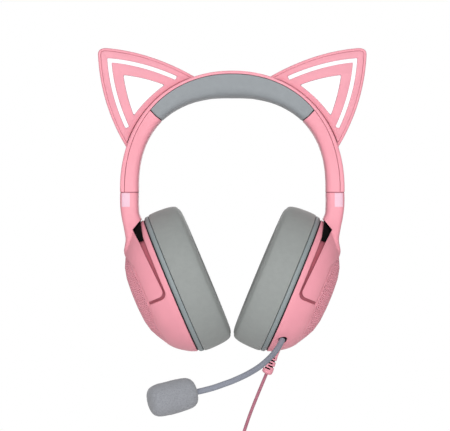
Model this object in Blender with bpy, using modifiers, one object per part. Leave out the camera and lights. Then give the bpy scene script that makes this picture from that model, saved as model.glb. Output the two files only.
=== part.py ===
"""Gaming headset with cat ears: an assembly of separate solids, in metres.

Frame: the origin is the middle of the headband cushion's underside, where the headset rests on a
head. +Z is up, the wearer faces -Y, and the wearer's left is +X. The left cup carries the
microphone, the controls and the cable.
"""

import math

import bmesh
import bpy
from mathutils import Matrix, Vector

MM = 0.001
GAP = 0.3 * MM  # running gap between neighbouring pieces

# Headband. Both edges are superellipses (half width, half height, exponent) about one centre.
BAND_CENTRE_Z = -67.9 * MM
OUTER_EDGE = (83.2 * MM, 87.7 * MM, 2.1)
INNER_EDGE = (69.6 * MM, 67.9 * MM, 2.4)
BAND_END_Z = -70.3 * MM
BAND_END_DEG = -2.3
CUSHION_END_DEG = 44.0
HALF_WIDTH = (12.0 * MM, 19.0 * MM)  # at the arms, and over the head
COVER_THICKNESS = (3.2 * MM, 2.2 * MM)
GROOVE_HALF_WIDTH = 8.6 * MM
GROOVE_DEPTH = 5.9 * MM
SPRING_DEPTH = 3.7 * MM
SPRING_THICKNESS = 1.0 * MM
SPRING_HALF_WIDTH = 5.0 * MM
SPRING_END_DEG = 30.0
HARNESS_RADIUS = 0.8 * MM
HARNESS_Y = 7.2 * MM
HARNESS_DEPTH = 4.6 * MM
HARNESS_END_DEG = 12

# Slider: a notched steel strip that runs in the arm and is fixed in the yoke
STRIP_X = (72.0 * MM, 73.5 * MM)
STRIP_Z = (-84.1 * MM, -36.0 * MM)
STRIP_HALF_WIDTH = 6.0 * MM
NOTCH_PITCH = 4.0 * MM
NOTCH_COUNT = 8
GUIDE_X = (74.1 * MM, 76.6 * MM)
GUIDE_Z = (-62.0 * MM, -56.0 * MM)
GUIDE_HALF_WIDTH = 5.4 * MM

# Ears
EAR_THICKNESS = 13.0 * MM
EAR_RIM = 2.0 * MM
EAR_FACE_THICKNESS = 2.2 * MM
EAR_BACK_WALL = 2.4 * MM
EAR_BASE_DEG = (21.4, 71.0)
STRIP_LIGHT_WIDTH = 2.9 * MM

# Cup frame: u runs up the cup, t out from the joint between cup and pad, both leaning with the cup
CUP_CENTRE = Vector((45.5, 0.0, -139.7)) * MM
CUP_LEAN = math.radians(22.67)
OVAL = 0.836  # width over length of every oval on the cup
GRILLE_OVAL = 0.741
CUP_PROFILE = (  # t, half length
    (0.6, 52.7), (4.9, 51.2), (9.0, 48.7), (13.5, 45.6), (17.4, 41.9), (19.5, 38.7),
    (21.2, 36.2), (23.5, 32.3), (25.0, 29.4),
)
CUP_WALL = 6.4
PIVOT_T = 12.0
PIN_RADIUS = 2.5 * MM
PIN_Y = (32.6 * MM, 36.3 * MM)
FORK_PROUD = 3.4  # how far the yoke stands over the top of the cup
FORK_THICKNESS = 3.0
RECESS_DEPTH = 4.2
OVAL_STEPS = 28

# Microphone
BOOM_RADIUS = 2.05 * MM
BOOM_CUTS = (0.36, 0.68)  # where the boom divides, as shares of its length
BOOM_JOINT_GAP = 0.8 * MM
FOAM_LENGTH = 35.6 * MM
MIC_EXIT = Vector((36.85, -25.6, -178.8)) * MM
MIC_EXIT_AXIS = Vector((-0.270, -0.710, -0.646)).normalized()
BOOM_ROUTE = (
    (38.7, -20.6, -174.3), (36.85, -25.6, -178.8), (33.8, -32.0, -184.1), (29.8, -39.0, -188.9),
    (24.7, -46.5, -193.5), (18.4, -54.0, -197.9), (10.0, -62.0, -202.0), (0.7, -69.3, -205.6),
    (-5.4, -73.5, -207.6), (-14.4, -79.2, -210.2), (-24.3, -84.6, -212.2), (-28.4, -86.3, -212.5),
)
FOAM_CENTRE = Vector((-42.5, -91.0, -215.7)) * MM
FOAM_AXIS = Vector((19.0, 6.3, 4.4)).normalized()  # from the free end towards the boom

# Cable
RELIEF_T = 6.9 * MM
RELIEF_U = (-44.0 * MM, -69.5 * MM)
RELIEF_RADIUS = 4.15 * MM
CORD_RADIUS = 1.25 * MM
CORD_ROUTE = (
    (24.97, 0.0, -206.9), (19.2, -0.2, -220.7), (13.8, -1.6, -234.2), (9.6, -3.6, -246.0),
    (6.2, -5.4, -256.6),
)
COIL_CENTRE = Vector((21.5, 0.0, -272.6)) * MM
COIL_TURN_RADIUS = 15.05 * MM
COIL_SECTION = (10.6 * MM, 15.2 * MM)  # radial, axial
TIE_ANGLE = math.radians(55)
TAIL_ROUTE = ((2.45, 6.3, -283.6), (2.45, 6.3, -291.0), (2.45, 6.3, -299.5))
PLUG_TOP_Z = -299.8 * MM
PLUG_BODY_SIZE = (15.6 * MM, 7.6 * MM, 24.0 * MM)
PLUG_SHELL_SIZE = (12.0 * MM, 4.5 * MM, 12.0 * MM)
PLUG_WALL = 0.4 * MM

PINK = (0.95, 0.37, 0.46, 1)
PINK_FACE = (0.95, 0.35, 0.44, 1)
GREY = (0.35, 0.39, 0.38, 1)
GREY_RING = (0.31, 0.35, 0.37, 1)
GREY_BOOM = (0.31, 0.33, 0.38, 1)
BLACK = (0.01, 0.012, 0.015, 1)
WHITE = (0.95, 0.95, 0.95, 1)
STEEL = (0.55, 0.56, 0.58, 1)
GREEN = (0.03, 0.18, 0.08, 1)
CABLE = (0.42, 0.16, 0.21, 1)


# ---------------------------------------------------------------- scene and helpers

def clear_scene():
    for obj in list(bpy.data.objects):
        bpy.data.objects.remove(obj, do_unlink=True)


def new_collection(name, parent=None):
    made = bpy.data.collections.new(name)
    (parent or bpy.context.scene.collection).children.link(made)
    return made


clear_scene()
PARTS = new_collection("gaming_headset")
CUTTERS = new_collection("cutters")


def as_cutter(obj):
    for owner in list(obj.users_collection):
        owner.objects.unlink(obj)
    CUTTERS.objects.link(obj)
    obj.hide_render = True
    obj.display_type = "WIRE"
    return obj


def mesh_object(name, bm):
    bmesh.ops.recalc_face_normals(bm, faces=bm.faces)
    if bm.calc_volume(signed=True) < 0:
        bmesh.ops.reverse_faces(bm, faces=bm.faces)
    mesh = bpy.data.meshes.new(name)
    bm.to_mesh(mesh)
    bm.free()
    obj = bpy.data.objects.new(name, mesh)
    PARTS.objects.link(obj)
    return obj


def baked(obj):
    """The object's evaluated mesh as a plain object in world space, with loose caps welded."""
    bpy.context.view_layer.update()
    evaluated = obj.evaluated_get(bpy.context.evaluated_depsgraph_get())
    mesh = bpy.data.meshes.new_from_object(evaluated)
    name, place = obj.name, obj.matrix_world.copy()
    bpy.data.objects.remove(obj, do_unlink=True)
    bm = bmesh.new()
    bm.from_mesh(mesh)
    bpy.data.meshes.remove(mesh)
    bm.transform(place)
    bmesh.ops.remove_doubles(bm, verts=bm.verts, dist=1e-6)
    return mesh_object(name, bm)


def paint(obj, colour, roughness, metallic=0.0):
    material = bpy.data.materials.new(obj.name)
    material.use_nodes = True
    shader = material.node_tree.nodes["Principled BSDF"]
    shader.inputs["Base Color"].default_value = colour
    shader.inputs["Roughness"].default_value = roughness
    shader.inputs["Metallic"].default_value = metallic
    obj.data.materials.clear()
    obj.data.materials.append(material)
    obj.data.shade_smooth()
    obj.data.set_sharp_from_angle(angle=math.radians(35))
    return obj


def combine(obj, others, operation):
    for other in others:
        step = obj.modifiers.new(operation.lower(), "BOOLEAN")
        step.operation = operation
        step.object = other
    done = baked(obj)
    for other in others:
        as_cutter(other)
    return done


def carve(obj, *cutters):
    return combine(obj, cutters, "DIFFERENCE")


def mirrored(obj, name):
    """A copy of a baked object on the other side of the X = 0 plane."""
    bm = bmesh.new()
    bm.from_mesh(obj.data)
    bm.transform(Matrix.Diagonal((-1, 1, 1, 1)))
    copy = mesh_object(name, bm)
    for material in obj.data.materials:
        copy.data.materials.append(material)
    copy.data.shade_smooth()
    copy.data.set_sharp_from_angle(angle=math.radians(35))
    return copy


def loft(name, rings):
    """A closed body through rings that have the same number of points."""
    bm = bmesh.new()
    rows = [[bm.verts.new(point) for point in ring] for ring in rings]
    for row, after in zip(rows, rows[1:]):
        for i in range(len(row)):
            j = (i + 1) % len(row)
            bm.faces.new((row[i], row[j], after[j], after[i]))
    bm.faces.new(rows[0])
    bm.faces.new(rows[-1])
    return mesh_object(name, bm)


def plate(name, outline, thickness, middle=0.0, along="Y"):
    """A flat outline made solid: (x, z) points along Y, or (y, z) points along X."""
    curve = bpy.data.curves.new(name, "CURVE")
    curve.dimensions = "2D"
    curve.fill_mode = "BOTH"
    curve.extrude = thickness / 2
    spline = curve.splines.new("POLY")
    spline.points.add(len(outline) - 1)
    for point, (across, up) in zip(spline.points, outline):
        point.co = (across, up, 0, 1)
    spline.use_cyclic_u = True
    obj = bpy.data.objects.new(name, curve)
    PARTS.objects.link(obj)
    if along == "Y":
        obj.matrix_world = Matrix.Translation((0, middle, 0)) @ Matrix.Rotation(math.pi / 2, 4, "X")
    else:
        upright = Matrix(((0, 0, 1, middle), (1, 0, 0, 0), (0, 1, 0, 0), (0, 0, 0, 1)))
        obj.matrix_world = upright
    return baked(obj)


def box(name, low, high):
    bm = bmesh.new()
    bmesh.ops.create_cube(bm, size=1)
    low, high = Vector(low), Vector(high)
    bmesh.ops.scale(bm, vec=high - low, verts=bm.verts)
    bmesh.ops.translate(bm, vec=(low + high) / 2, verts=bm.verts)
    return mesh_object(name, bm)


def rounded(obj, width, segments=1):
    step = obj.modifiers.new("round", "BEVEL")
    step.width = width
    step.segments = segments
    step.limit_method = "ANGLE"
    step.angle_limit = math.radians(50)
    return baked(obj)


def frame_along(origin, axis):
    """A frame at a point whose Z runs along an axis."""
    return Matrix.Translation(origin) @ Vector(axis).to_track_quat("Z", "Y").to_matrix().to_4x4()


def cylinder(name, origin, axis, radius, length, steps=20):
    """A cylinder that starts at a point and runs along an axis."""
    bm = bmesh.new()
    bmesh.ops.create_cone(
        bm, cap_ends=True, segments=steps, radius1=radius, radius2=radius, depth=length,
    )
    bm.transform(frame_along(origin, axis) @ Matrix.Translation((0, 0, length / 2)))
    return mesh_object(name, bm)


def turned(name, profile, place, ratio=1.0, closed=True, steps=OVAL_STEPS):
    """A profile of (radius, height) points turned about a frame's Z, its width scaled by a ratio."""
    bm = bmesh.new()
    verts = [bm.verts.new((radius, 0, height)) for radius, height in profile]
    pairs = list(zip(verts, verts[1:])) + ([(verts[-1], verts[0])] if closed else [])
    for pair in pairs:
        bm.edges.new(pair)
    mesh = bpy.data.meshes.new(name)
    bm.to_mesh(mesh)
    bm.free()
    obj = bpy.data.objects.new(name, mesh)
    PARTS.objects.link(obj)
    turn = obj.modifiers.new("turn", "SCREW")
    turn.steps = turn.render_steps = steps
    turn.use_merge_vertices = True
    turn.merge_threshold = 0.00002
    obj.matrix_world = place @ Matrix.Diagonal((1, ratio, 1, 1))
    return baked(obj)


def smooth_path(route, step):
    """Points a step apart along a smooth curve through a route's own points."""
    knots = [Vector(point) for point in route]
    knots = [knots[0] * 2 - knots[1]] + knots + [knots[-1] * 2 - knots[-2]]
    fine = []
    for a, b, c, d in zip(knots, knots[1:], knots[2:], knots[3:]):
        square, cube = 2 * a - 5 * b + 4 * c - d, 3 * b - a - 3 * c + d
        for i in range(24):
            s = i / 24
            fine.append(b + ((c - a) * s + square * s ** 2 + cube * s ** 3) / 2)
    fine.append(knots[-2])
    length = sum((q - p).length for p, q in zip(fine, fine[1:]))
    count = max(2, round(length / step))
    points, gone, at = [fine[0]], 0.0, 1
    for k in range(1, count):
        while gone + (fine[at] - fine[at - 1]).length < k * length / count:
            gone += (fine[at] - fine[at - 1]).length
            at += 1
        piece = (fine[at] - fine[at - 1]).length
        points.append(fine[at - 1].lerp(fine[at], (k * length / count - gone) / piece))
    return points + [fine[-1]]


def tube(name, points, radius):
    curve = bpy.data.curves.new(name, "CURVE")
    curve.dimensions = "3D"
    curve.bevel_depth = radius
    curve.bevel_resolution = 2
    curve.use_fill_caps = True
    spline = curve.splines.new("POLY")
    spline.points.add(len(points) - 1)
    for point, place in zip(spline.points, points):
        point.co = (*place, 1)
    obj = bpy.data.objects.new(name, curve)
    PARTS.objects.link(obj)
    return baked(obj)


def inset(outline, distance):
    """The outline moved inwards, each corner along its mitre."""
    turn = sum(x * w - z * v for (x, z), (v, w) in zip(outline, outline[1:] + outline[:1]))
    side = 1 if turn > 0 else -1
    moved = []
    for i, (x, z) in enumerate(outline):
        before = Vector((x, z)) - Vector(outline[i - 1])
        after = Vector(outline[(i + 1) % len(outline)]) - Vector((x, z))
        normals = [Vector((-edge.y, edge.x)).normalized() * side for edge in (before, after)]
        mitre = (normals[0] + normals[1]).normalized()
        moved.append(tuple(Vector((x, z)) + mitre * distance / max(0.35, mitre.dot(normals[0]))))
    return moved


def bowed(start, control, end, count):
    """Points along a quadratic curve, without its last point."""
    start, control, end = Vector(start), Vector(control), Vector(end)
    points = []
    for i in range(count):
        s = i / count
        points.append(tuple(start.lerp(control, s).lerp(control.lerp(end, s), s)))
    return points


def in_mm(points):
    return [tuple(value * MM for value in point) for point in points]


# ---------------------------------------------------------------- headband

def edge_radius(edge, angle):
    half_width, half_height, power = edge
    across, up = abs(math.cos(angle)) / half_width, abs(math.sin(angle)) / half_height
    return (across ** power + up ** power) ** (-1 / power)


def over_head(angle, values):
    """A value that goes from the arms' to the top's as the angle rises."""
    share = min(1.0, max(0.0, (math.sin(angle) - 0.15) / 0.75))
    share = share * share * (3 - 2 * share)
    return values[0] + (values[1] - values[0]) * share


def band_point(angle, depth, y=0.0):
    radius = edge_radius(OUTER_EDGE, angle) - depth
    z = BAND_CENTRE_Z + radius * math.sin(angle)
    return Vector((radius * math.cos(angle), y, max(z, BAND_END_Z)))


def band_depth(angle):
    return edge_radius(OUTER_EDGE, angle) - edge_radius(INNER_EDGE, angle)


def band_loft(name, start, end, section, step=5.5):
    """A body along the band, from a section that gives (depth, y) points for an angle."""
    count = max(2, round(abs(end - start) / step))
    angles = [math.radians(start + (end - start) * i / count) for i in range(count + 1)]
    return loft(name, [[band_point(angle, *point) for point in section(angle)] for angle in angles])


def mirrored_section(half):
    return half + [(depth, -y) for depth, y in reversed(half)]


def cover_section(angle):
    width, thick = over_head(angle, HALF_WIDTH), over_head(angle, COVER_THICKNESS)
    return mirrored_section([(0.0, width - 1.4 * MM), (0.8 * MM, width), (thick, width)])


def lining_section(angle, edge=5.0 * MM):
    """The groove for the spring and harness faces out, and the inner edges are rounded."""
    width, depth = over_head(angle, HALF_WIDTH), band_depth(angle)
    start = over_head(angle, COVER_THICKNESS) + GAP
    return mirrored_section([
        (GROOVE_DEPTH, GROOVE_HALF_WIDTH), (start, GROOVE_HALF_WIDTH), (start, width),
        (depth - edge, width), (depth - 0.3 * edge, width - 0.3 * edge), (depth, width - edge),
    ])


def spring_section(_angle):
    low, high = SPRING_DEPTH, SPRING_DEPTH + SPRING_THICKNESS
    return mirrored_section([(low, SPRING_HALF_WIDTH), (high, SPRING_HALF_WIDTH)])


def slider_box(name, x, half_width, z, grow):
    low = Vector((x[0], -half_width, z[0]))
    high = Vector((x[1], half_width, z[1]))
    margin = Vector((grow, grow, grow))
    return box(name, low - margin, high + margin)


def make_strip(name):
    """A strip with a row of detent notches in each edge."""
    edge = [(STRIP_HALF_WIDTH, STRIP_Z[0])]
    for i in range(NOTCH_COUNT):
        z = -70.0 * MM + i * NOTCH_PITCH
        edge += [
            (STRIP_HALF_WIDTH, z - 0.9 * MM),
            (STRIP_HALF_WIDTH - 0.9 * MM, z),
            (STRIP_HALF_WIDTH, z + 0.9 * MM),
        ]
    edge += [(STRIP_HALF_WIDTH, STRIP_Z[1] - 1.5 * MM), (STRIP_HALF_WIDTH - 1.5 * MM, STRIP_Z[1])]
    outline = edge + [(-y, z) for y, z in reversed(edge)]
    return plate(name, outline, STRIP_X[1] - STRIP_X[0], sum(STRIP_X) / 2, along="X")


def make_headband():
    paint(band_loft("headband_cover", BAND_END_DEG, 180 - BAND_END_DEG, cover_section), PINK, 0.42)
    spring = band_loft(
        "headband_spring", SPRING_END_DEG, 180 - SPRING_END_DEG, spring_section, step=8,
    )
    paint(spring, STEEL, 0.35, 1.0)
    cushion = band_loft(
        "headband_cushion", CUSHION_END_DEG + 0.2, 180 - CUSHION_END_DEG - 0.2,
        lambda angle: lining_section(angle, 7.0 * MM),
    )
    paint(cushion, GREY, 0.7)
    angles = [math.radians(a) for a in range(HARNESS_END_DEG, 181 - HARNESS_END_DEG, 6)]
    path = [band_point(a, HARNESS_DEPTH, HARNESS_Y) for a in angles]
    paint(tube("headband_harness", path, HARNESS_RADIUS), BLACK, 0.6)
    liner = band_loft("arm_liner_left", CUSHION_END_DEG - 0.2, BAND_END_DEG, lining_section)
    channel = slider_box("channel", STRIP_X, STRIP_HALF_WIDTH, (-76 * MM, STRIP_Z[1]), GAP)
    pocket = slider_box("guide_pocket", (72.9 * MM, GUIDE_X[1]), GUIDE_HALF_WIDTH, GUIDE_Z, GAP)
    liner = paint(carve(liner, channel, pocket), PINK, 0.42)
    mirrored(liner, "arm_liner_right")
    guide = slider_box("slider_guide_left", GUIDE_X, GUIDE_HALF_WIDTH, GUIDE_Z, 0.0)
    mirrored(paint(guide, BLACK, 0.5), "slider_guide_right")


# ---------------------------------------------------------------- ears

def ear_outline(base_offset=GAP):
    low, high = (math.radians(angle) for angle in EAR_BASE_DEG)
    base = [band_point(low + (high - low) * i / 10, -base_offset) for i in range(11)]
    base = [(point.x, point.z) for point in base]
    inner, outer = base[-1], base[0]
    upper = bowed(inner, (58.9 * MM, 33.7 * MM), (93.2 * MM, 36.6 * MM), 8)
    tip = bowed((93.2 * MM, 36.6 * MM), (100.2 * MM, 36.9 * MM), (99.8 * MM, 31.2 * MM), 4)
    side = bowed((99.8 * MM, 31.2 * MM), (97.9 * MM, -6.5 * MM), outer, 8)
    return base + upper[1:] + tip + side


def light_strip_outline(grow=0.0):
    """A V that follows the ear's two free edges."""
    half = STRIP_LIGHT_WIDTH / 2 + grow
    corner = (91.3 * MM, 27.5 * MM)
    path = bowed((41.7 * MM, 14.3 * MM), (67.2 * MM, 25.6 * MM), corner, 6)
    path += bowed(corner, (89.6 * MM, 2.6 * MM), (78.0 * MM, -22.4 * MM), 6) + [(78.0 * MM, -22.4 * MM)]
    sides = ([], [])
    for i, point in enumerate(path):
        before = Vector(point) - Vector(path[max(0, i - 1)])
        after = Vector(path[min(len(path) - 1, i + 1)]) - Vector(point)
        normals = [Vector((-edge.y, edge.x)).normalized() for edge in (before, after) if edge.length > 0]
        mitre = sum(normals, Vector((0, 0))).normalized()
        reach = mitre * half / max(0.5, mitre.dot(normals[0]))
        ends = Vector((0, 0))
        if i == 0:
            ends = after.normalized() * -grow
        if i == len(path) - 1:
            ends = before.normalized() * grow
        sides[0].append(tuple(Vector(point) + ends + reach))
        sides[1].append(tuple(Vector(point) + ends - reach))
    return sides[0] + sides[1][::-1]


def light_panel_outline(grow=0.0):
    """A triangle whose long edge follows the band."""
    corners = in_mm(((50.5, 9.1), (80.8, 16.5), (73.1, -13.3)))
    controls = in_mm(((64.4, 14.6), (78.6, 1.0), (64.3, -0.9)))
    outline = []
    for i in range(3):
        outline += bowed(corners[i], controls[i], corners[(i + 1) % 3], 4)
    return inset(outline, -grow) if grow else outline


def make_ears():
    half = EAR_THICKNESS / 2
    outline = ear_outline()
    shell = rounded(plate("ear_shell_left", outline, EAR_THICKNESS), 1.4 * MM)
    pocket_depth = EAR_THICKNESS - EAR_BACK_WALL + 1 * MM
    pocket_middle = pocket_depth / 2 - half - 1 * MM
    pocket = plate("ear_pocket", inset(outline, EAR_RIM), pocket_depth, pocket_middle)
    shell = paint(carve(shell, pocket), PINK, 0.42)
    face_middle = -half + 0.2 * MM + EAR_FACE_THICKNESS / 2
    face = plate("ear_face_left", inset(outline, EAR_RIM + GAP), EAR_FACE_THICKNESS, face_middle)
    windows = [
        plate("strip_window", light_strip_outline(GAP), 3 * EAR_FACE_THICKNESS, face_middle),
        plate("panel_window", light_panel_outline(GAP), 3 * EAR_FACE_THICKNESS, face_middle),
    ]
    face = paint(carve(face, *windows), PINK_FACE, 0.42)
    strip = plate("ear_light_strip_left", light_strip_outline(), EAR_FACE_THICKNESS, face_middle)
    panel = plate("ear_light_panel_left", light_panel_outline(), EAR_FACE_THICKNESS, face_middle)
    board = plate("ear_light_board_left", light_panel_outline(1.2 * MM), 1.2 * MM, 1.2 * MM)
    paint(strip, WHITE, 0.4)
    paint(panel, WHITE, 0.4)
    paint(board, GREEN, 0.6)
    for piece in (shell, face, strip, panel, board):
        mirrored(piece, piece.name.replace("_left", "_right"))


# ---------------------------------------------------------------- cup and yoke

CUP_UP = Vector((math.sin(CUP_LEAN), 0, math.cos(CUP_LEAN)))
CUP_OUT = Vector((math.cos(CUP_LEAN), 0, -math.sin(CUP_LEAN)))
CUP_PLACE = Matrix((
    (CUP_UP.x, 0, CUP_OUT.x, CUP_CENTRE.x),
    (0, -1, 0, CUP_CENTRE.y),
    (CUP_UP.z, 0, CUP_OUT.z, CUP_CENTRE.z),
    (0, 0, 0, 1),
))


def cup_point(u, t, y=0.0):
    """A world point from cup coordinates, with y kept as the world's."""
    return CUP_CENTRE + CUP_UP * u + CUP_OUT * t + Vector((0, y, 0))


def cup_outline(points):
    """World (x, z) points from (u, t) points in millimetres."""
    return [(place.x, place.z) for place in (cup_point(u * MM, t * MM) for u, t in points)]


def half_length(t):
    """Half the cup's length at a distance t in millimetres, from its profile."""
    for (t0, r0), (t1, r1) in zip(CUP_PROFILE, CUP_PROFILE[1:]):
        if t <= t1 or t1 == CUP_PROFILE[-1][0]:
            return r0 + (r1 - r0) * (t - t0) / (t1 - t0)


def oval_body(name, levels, along, across):
    """A loft of ovals: the cup's outline with its half length and half width changed by a distance."""
    rings = []
    for t in levels:
        length, width = half_length(t) + along, half_length(t) * OVAL + across
        turns = [2 * math.pi * i / OVAL_STEPS for i in range(OVAL_STEPS)]
        rings.append([
            CUP_PLACE @ (Vector((length * math.cos(a), width * math.sin(a), t)) * MM) for a in turns
        ])
    return loft(name, rings)


def corner_arc(u, t, radius):
    """The rounded corner between a long edge at t - radius and an end at u - radius."""
    angles = [math.radians(degrees) for degrees in (0, 30, 60, 90)]
    return [(u - radius * math.sin(a), t - radius * math.cos(a)) for a in angles]


ARM_OUTLINE = in_mm((
    (83.2, -70.6), (83.3, -76.0), (83.0, -83.5), (81.7, -91.2), (79.9, -99.5), (79.0, -104.6),
    (79.3, -109.0), (80.2, -113.5), (79.9, -117.0), (79.3, -118.3),
)) + cup_outline(((31.0, 17.0), (36.0, 8.6), (39.1, 8.9), (49.1, 10.2), (53.6, 1.9))) + in_mm((
    (69.2, -86.4), (69.8, -79.0), (69.6, -70.6),
))
FORK_OUTLINE = cup_outline(
    [(56.0, 11.1), (49.1, 10.2), (39.1, 8.9), (5.8, 6.7)] + corner_arc(-0.4, 10.4, 4.0)
    + [(-4.4, 19.2), (23.0, 19.2), (32.8, 22.9), (45.0, 22.9), (56.0, 18.0)]
)
RECESS_OUTLINE = cup_outline(
    [(62.0, 1.0), (52.0, 2.6), (41.0, 4.9)] + corner_arc(-2.1, 9.4, 4.5) + [(-6.6, 24.0), (62.0, 24.0)]
)
STOP_OUTLINE = cup_outline(
    ((38.3, 5.2), (38.9, 8.5), (48.6, 9.7), (52.5, 3.1), (51.2, 3.15), (41.2, 5.2))
)


def pin_holes(start, way):
    """Cutters for both pivot pins: from a distance out along Y, outwards (1) or inwards (-1)."""
    holes = []
    for side in (-1, 1):
        place = cup_point(0, PIVOT_T * MM, side * start)
        holes.append(cylinder("pin_hole", place, (0, side * way, 0), PIN_RADIUS + GAP, 10 * MM))
    return holes


def make_yoke():
    arm = rounded(plate("yoke_left", ARM_OUTLINE, 2 * HALF_WIDTH[0]), 2.4 * MM)
    fork = oval_body("fork", (5.0, 9.0, 13.5, 17.4, 19.5, 21.2, 24.0), FORK_PROUD, 0.0)
    keep = plate("fork_keep", FORK_OUTLINE, 110 * MM)
    fork = combine(fork, [keep], "INTERSECT")
    yoke = combine(arm, [fork], "UNION")
    inside = oval_body("fork_inside", (1.0, 4.9, 9.0, 13.5, 17.4, 19.5, 21.2, 25.5), 0.4, -FORK_THICKNESS)
    slot = slider_box("strip_slot", STRIP_X, STRIP_HALF_WIDTH, (STRIP_Z[0], -60 * MM), GAP)
    yoke = paint(carve(yoke, inside, slot, *pin_holes(36.5 * MM, -1)), PINK, 0.42)
    mirrored(yoke, "yoke_right")
    strip = paint(make_strip("slider_strip_left"), STEEL, 0.3, 1.0)
    mirrored(strip, "slider_strip_right")
    stop = oval_body("tilt_stop_left", (2.0, 4.9, 9.0, 13.5), 2.0, -0.3)
    stop = combine(stop, [plate("stop_keep", STOP_OUTLINE, 110 * MM)], "INTERSECT")
    stop = carve(stop, oval_body("stop_inside", (1.0, 4.9, 9.0, 14.5), 0.3, -3.9))
    mirrored(paint(stop, BLACK, 0.75), "tilt_stop_right")


def make_cup_shell():
    shell = oval_body("cup_shell_left", (0.6, 4.9, 9.0, 13.5, 17.4, 19.5), 0.0, 0.0)
    floor = oval_body("recess_floor", (-2.0, 4.9, 9.0, 13.5, 17.4, 19.5, 26.0), 0.1, -RECESS_DEPTH)
    recess = carve(plate("recess", RECESS_OUTLINE, 120 * MM), floor)
    cavity = oval_body("cavity", (-1.0, 4.9, 13.5, 17.0), -CUP_WALL, -CUP_WALL)
    return paint(carve(shell, recess, cavity, *pin_holes(27 * MM, 1)), PINK, 0.42)


def make_cup_inside():
    """Baffle, driver, speaker cloth and the pad's mounting ring."""
    baffle = turned(
        "baffle_left",
        in_mm(((0, 2.6), (43.0, 2.6), (43.5, 0.3), (52.3, 0.3), (52.3, -0.35), (0, -0.35))),
        CUP_PLACE, OVAL, closed=False,
    )
    baffle = carve(baffle, cylinder("driver_hole", cup_point(0, -5 * MM), CUP_OUT, 20.3 * MM, 12 * MM, 24))
    paint(baffle, BLACK, 0.5)
    driver = turned(
        "driver_left",
        in_mm((
            (0, 12), (13.5, 12), (13.5, 4.9), (24, 4.9), (24, 2.9), (20, 2.9), (20, -0.3),
            (17.5, -0.3), (11, 1.2), (6, 0.2), (0, 0.6),
        )),
        CUP_PLACE, closed=False, steps=24,
    )
    paint(driver, STEEL, 0.4, 0.6)
    cloth = turned(
        "speaker_cloth_left", in_mm(((0, -0.8), (36, -0.8), (36, -1.5), (0, -1.5))),
        CUP_PLACE, OVAL, closed=False,
    )
    paint(cloth, BLACK, 0.9)
    ring = turned(
        "pad_ring_left",
        in_mm(((36.5, -0.65), (53.6, -0.65), (54.3, -2.6), (54.1, -4.8), (36.5, -4.8))),
        CUP_PLACE, OVAL,
    )
    paint(ring, GREY_RING, 0.5)
    return [baffle, driver, cloth, ring]


def make_ear_cushion():
    profile = in_mm((
        (53.6, -5.1), (55.3, -8.5), (54.9, -15.0), (54.4, -20.5), (52.8, -25.2), (50.2, -27.6),
        (47.2, -28.6), (38.8, -28.6), (34.6, -26.6), (32.4, -22.0), (32.0, -5.1),
    ))
    return paint(turned("ear_cushion_left", profile, CUP_PLACE, OVAL), GREY, 0.75)


def make_grille():
    profile = in_mm((
        (0, 29.4), (17.9, 28.5), (25.5, 26.7), (31.8, 23.6), (36.5, 20.8), (38.0, 19.8),
        (35.4, 19.8), (31.2, 22.2), (24.6, 25.1), (17.2, 26.9), (0, 27.8),
    ))
    return paint(turned("grille_left", profile, CUP_PLACE, GRILLE_OVAL, closed=False), PINK, 0.5)


def make_cups():
    shell = make_cup_shell()
    pieces = [shell, make_grille(), make_ear_cushion()] + make_cup_inside()
    length = PIN_Y[1] - PIN_Y[0]
    for side, end in ((-1, "front"), (1, "rear")):
        start = cup_point(0, PIVOT_T * MM, side * PIN_Y[0])
        pin = cylinder(f"pivot_pin_{end}_left", start, (0, side, 0), PIN_RADIUS, length, 16)
        pieces.append(paint(pin, STEEL, 0.3, 1.0))
    for piece in pieces:
        mirrored(piece, piece.name.replace("_left", "_right"))
    return shell


# ---------------------------------------------------------------- controls, microphone and cable

WHEEL_PLACE = frame_along(cup_point(-19.9 * MM, 7.2 * MM, 31.2 * MM), CUP_OUT)
BUTTON_AXIS = (-CUP_UP * 0.72 + Vector((0, 0.69, 0))).normalized()
BUTTON_FACE = cup_point(-38.0 * MM, 9.0 * MM, 25.5 * MM) + BUTTON_AXIS * 1.0 * MM
RELIEF_PLACE = frame_along(cup_point(RELIEF_U[0], RELIEF_T), -CUP_UP)


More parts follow.
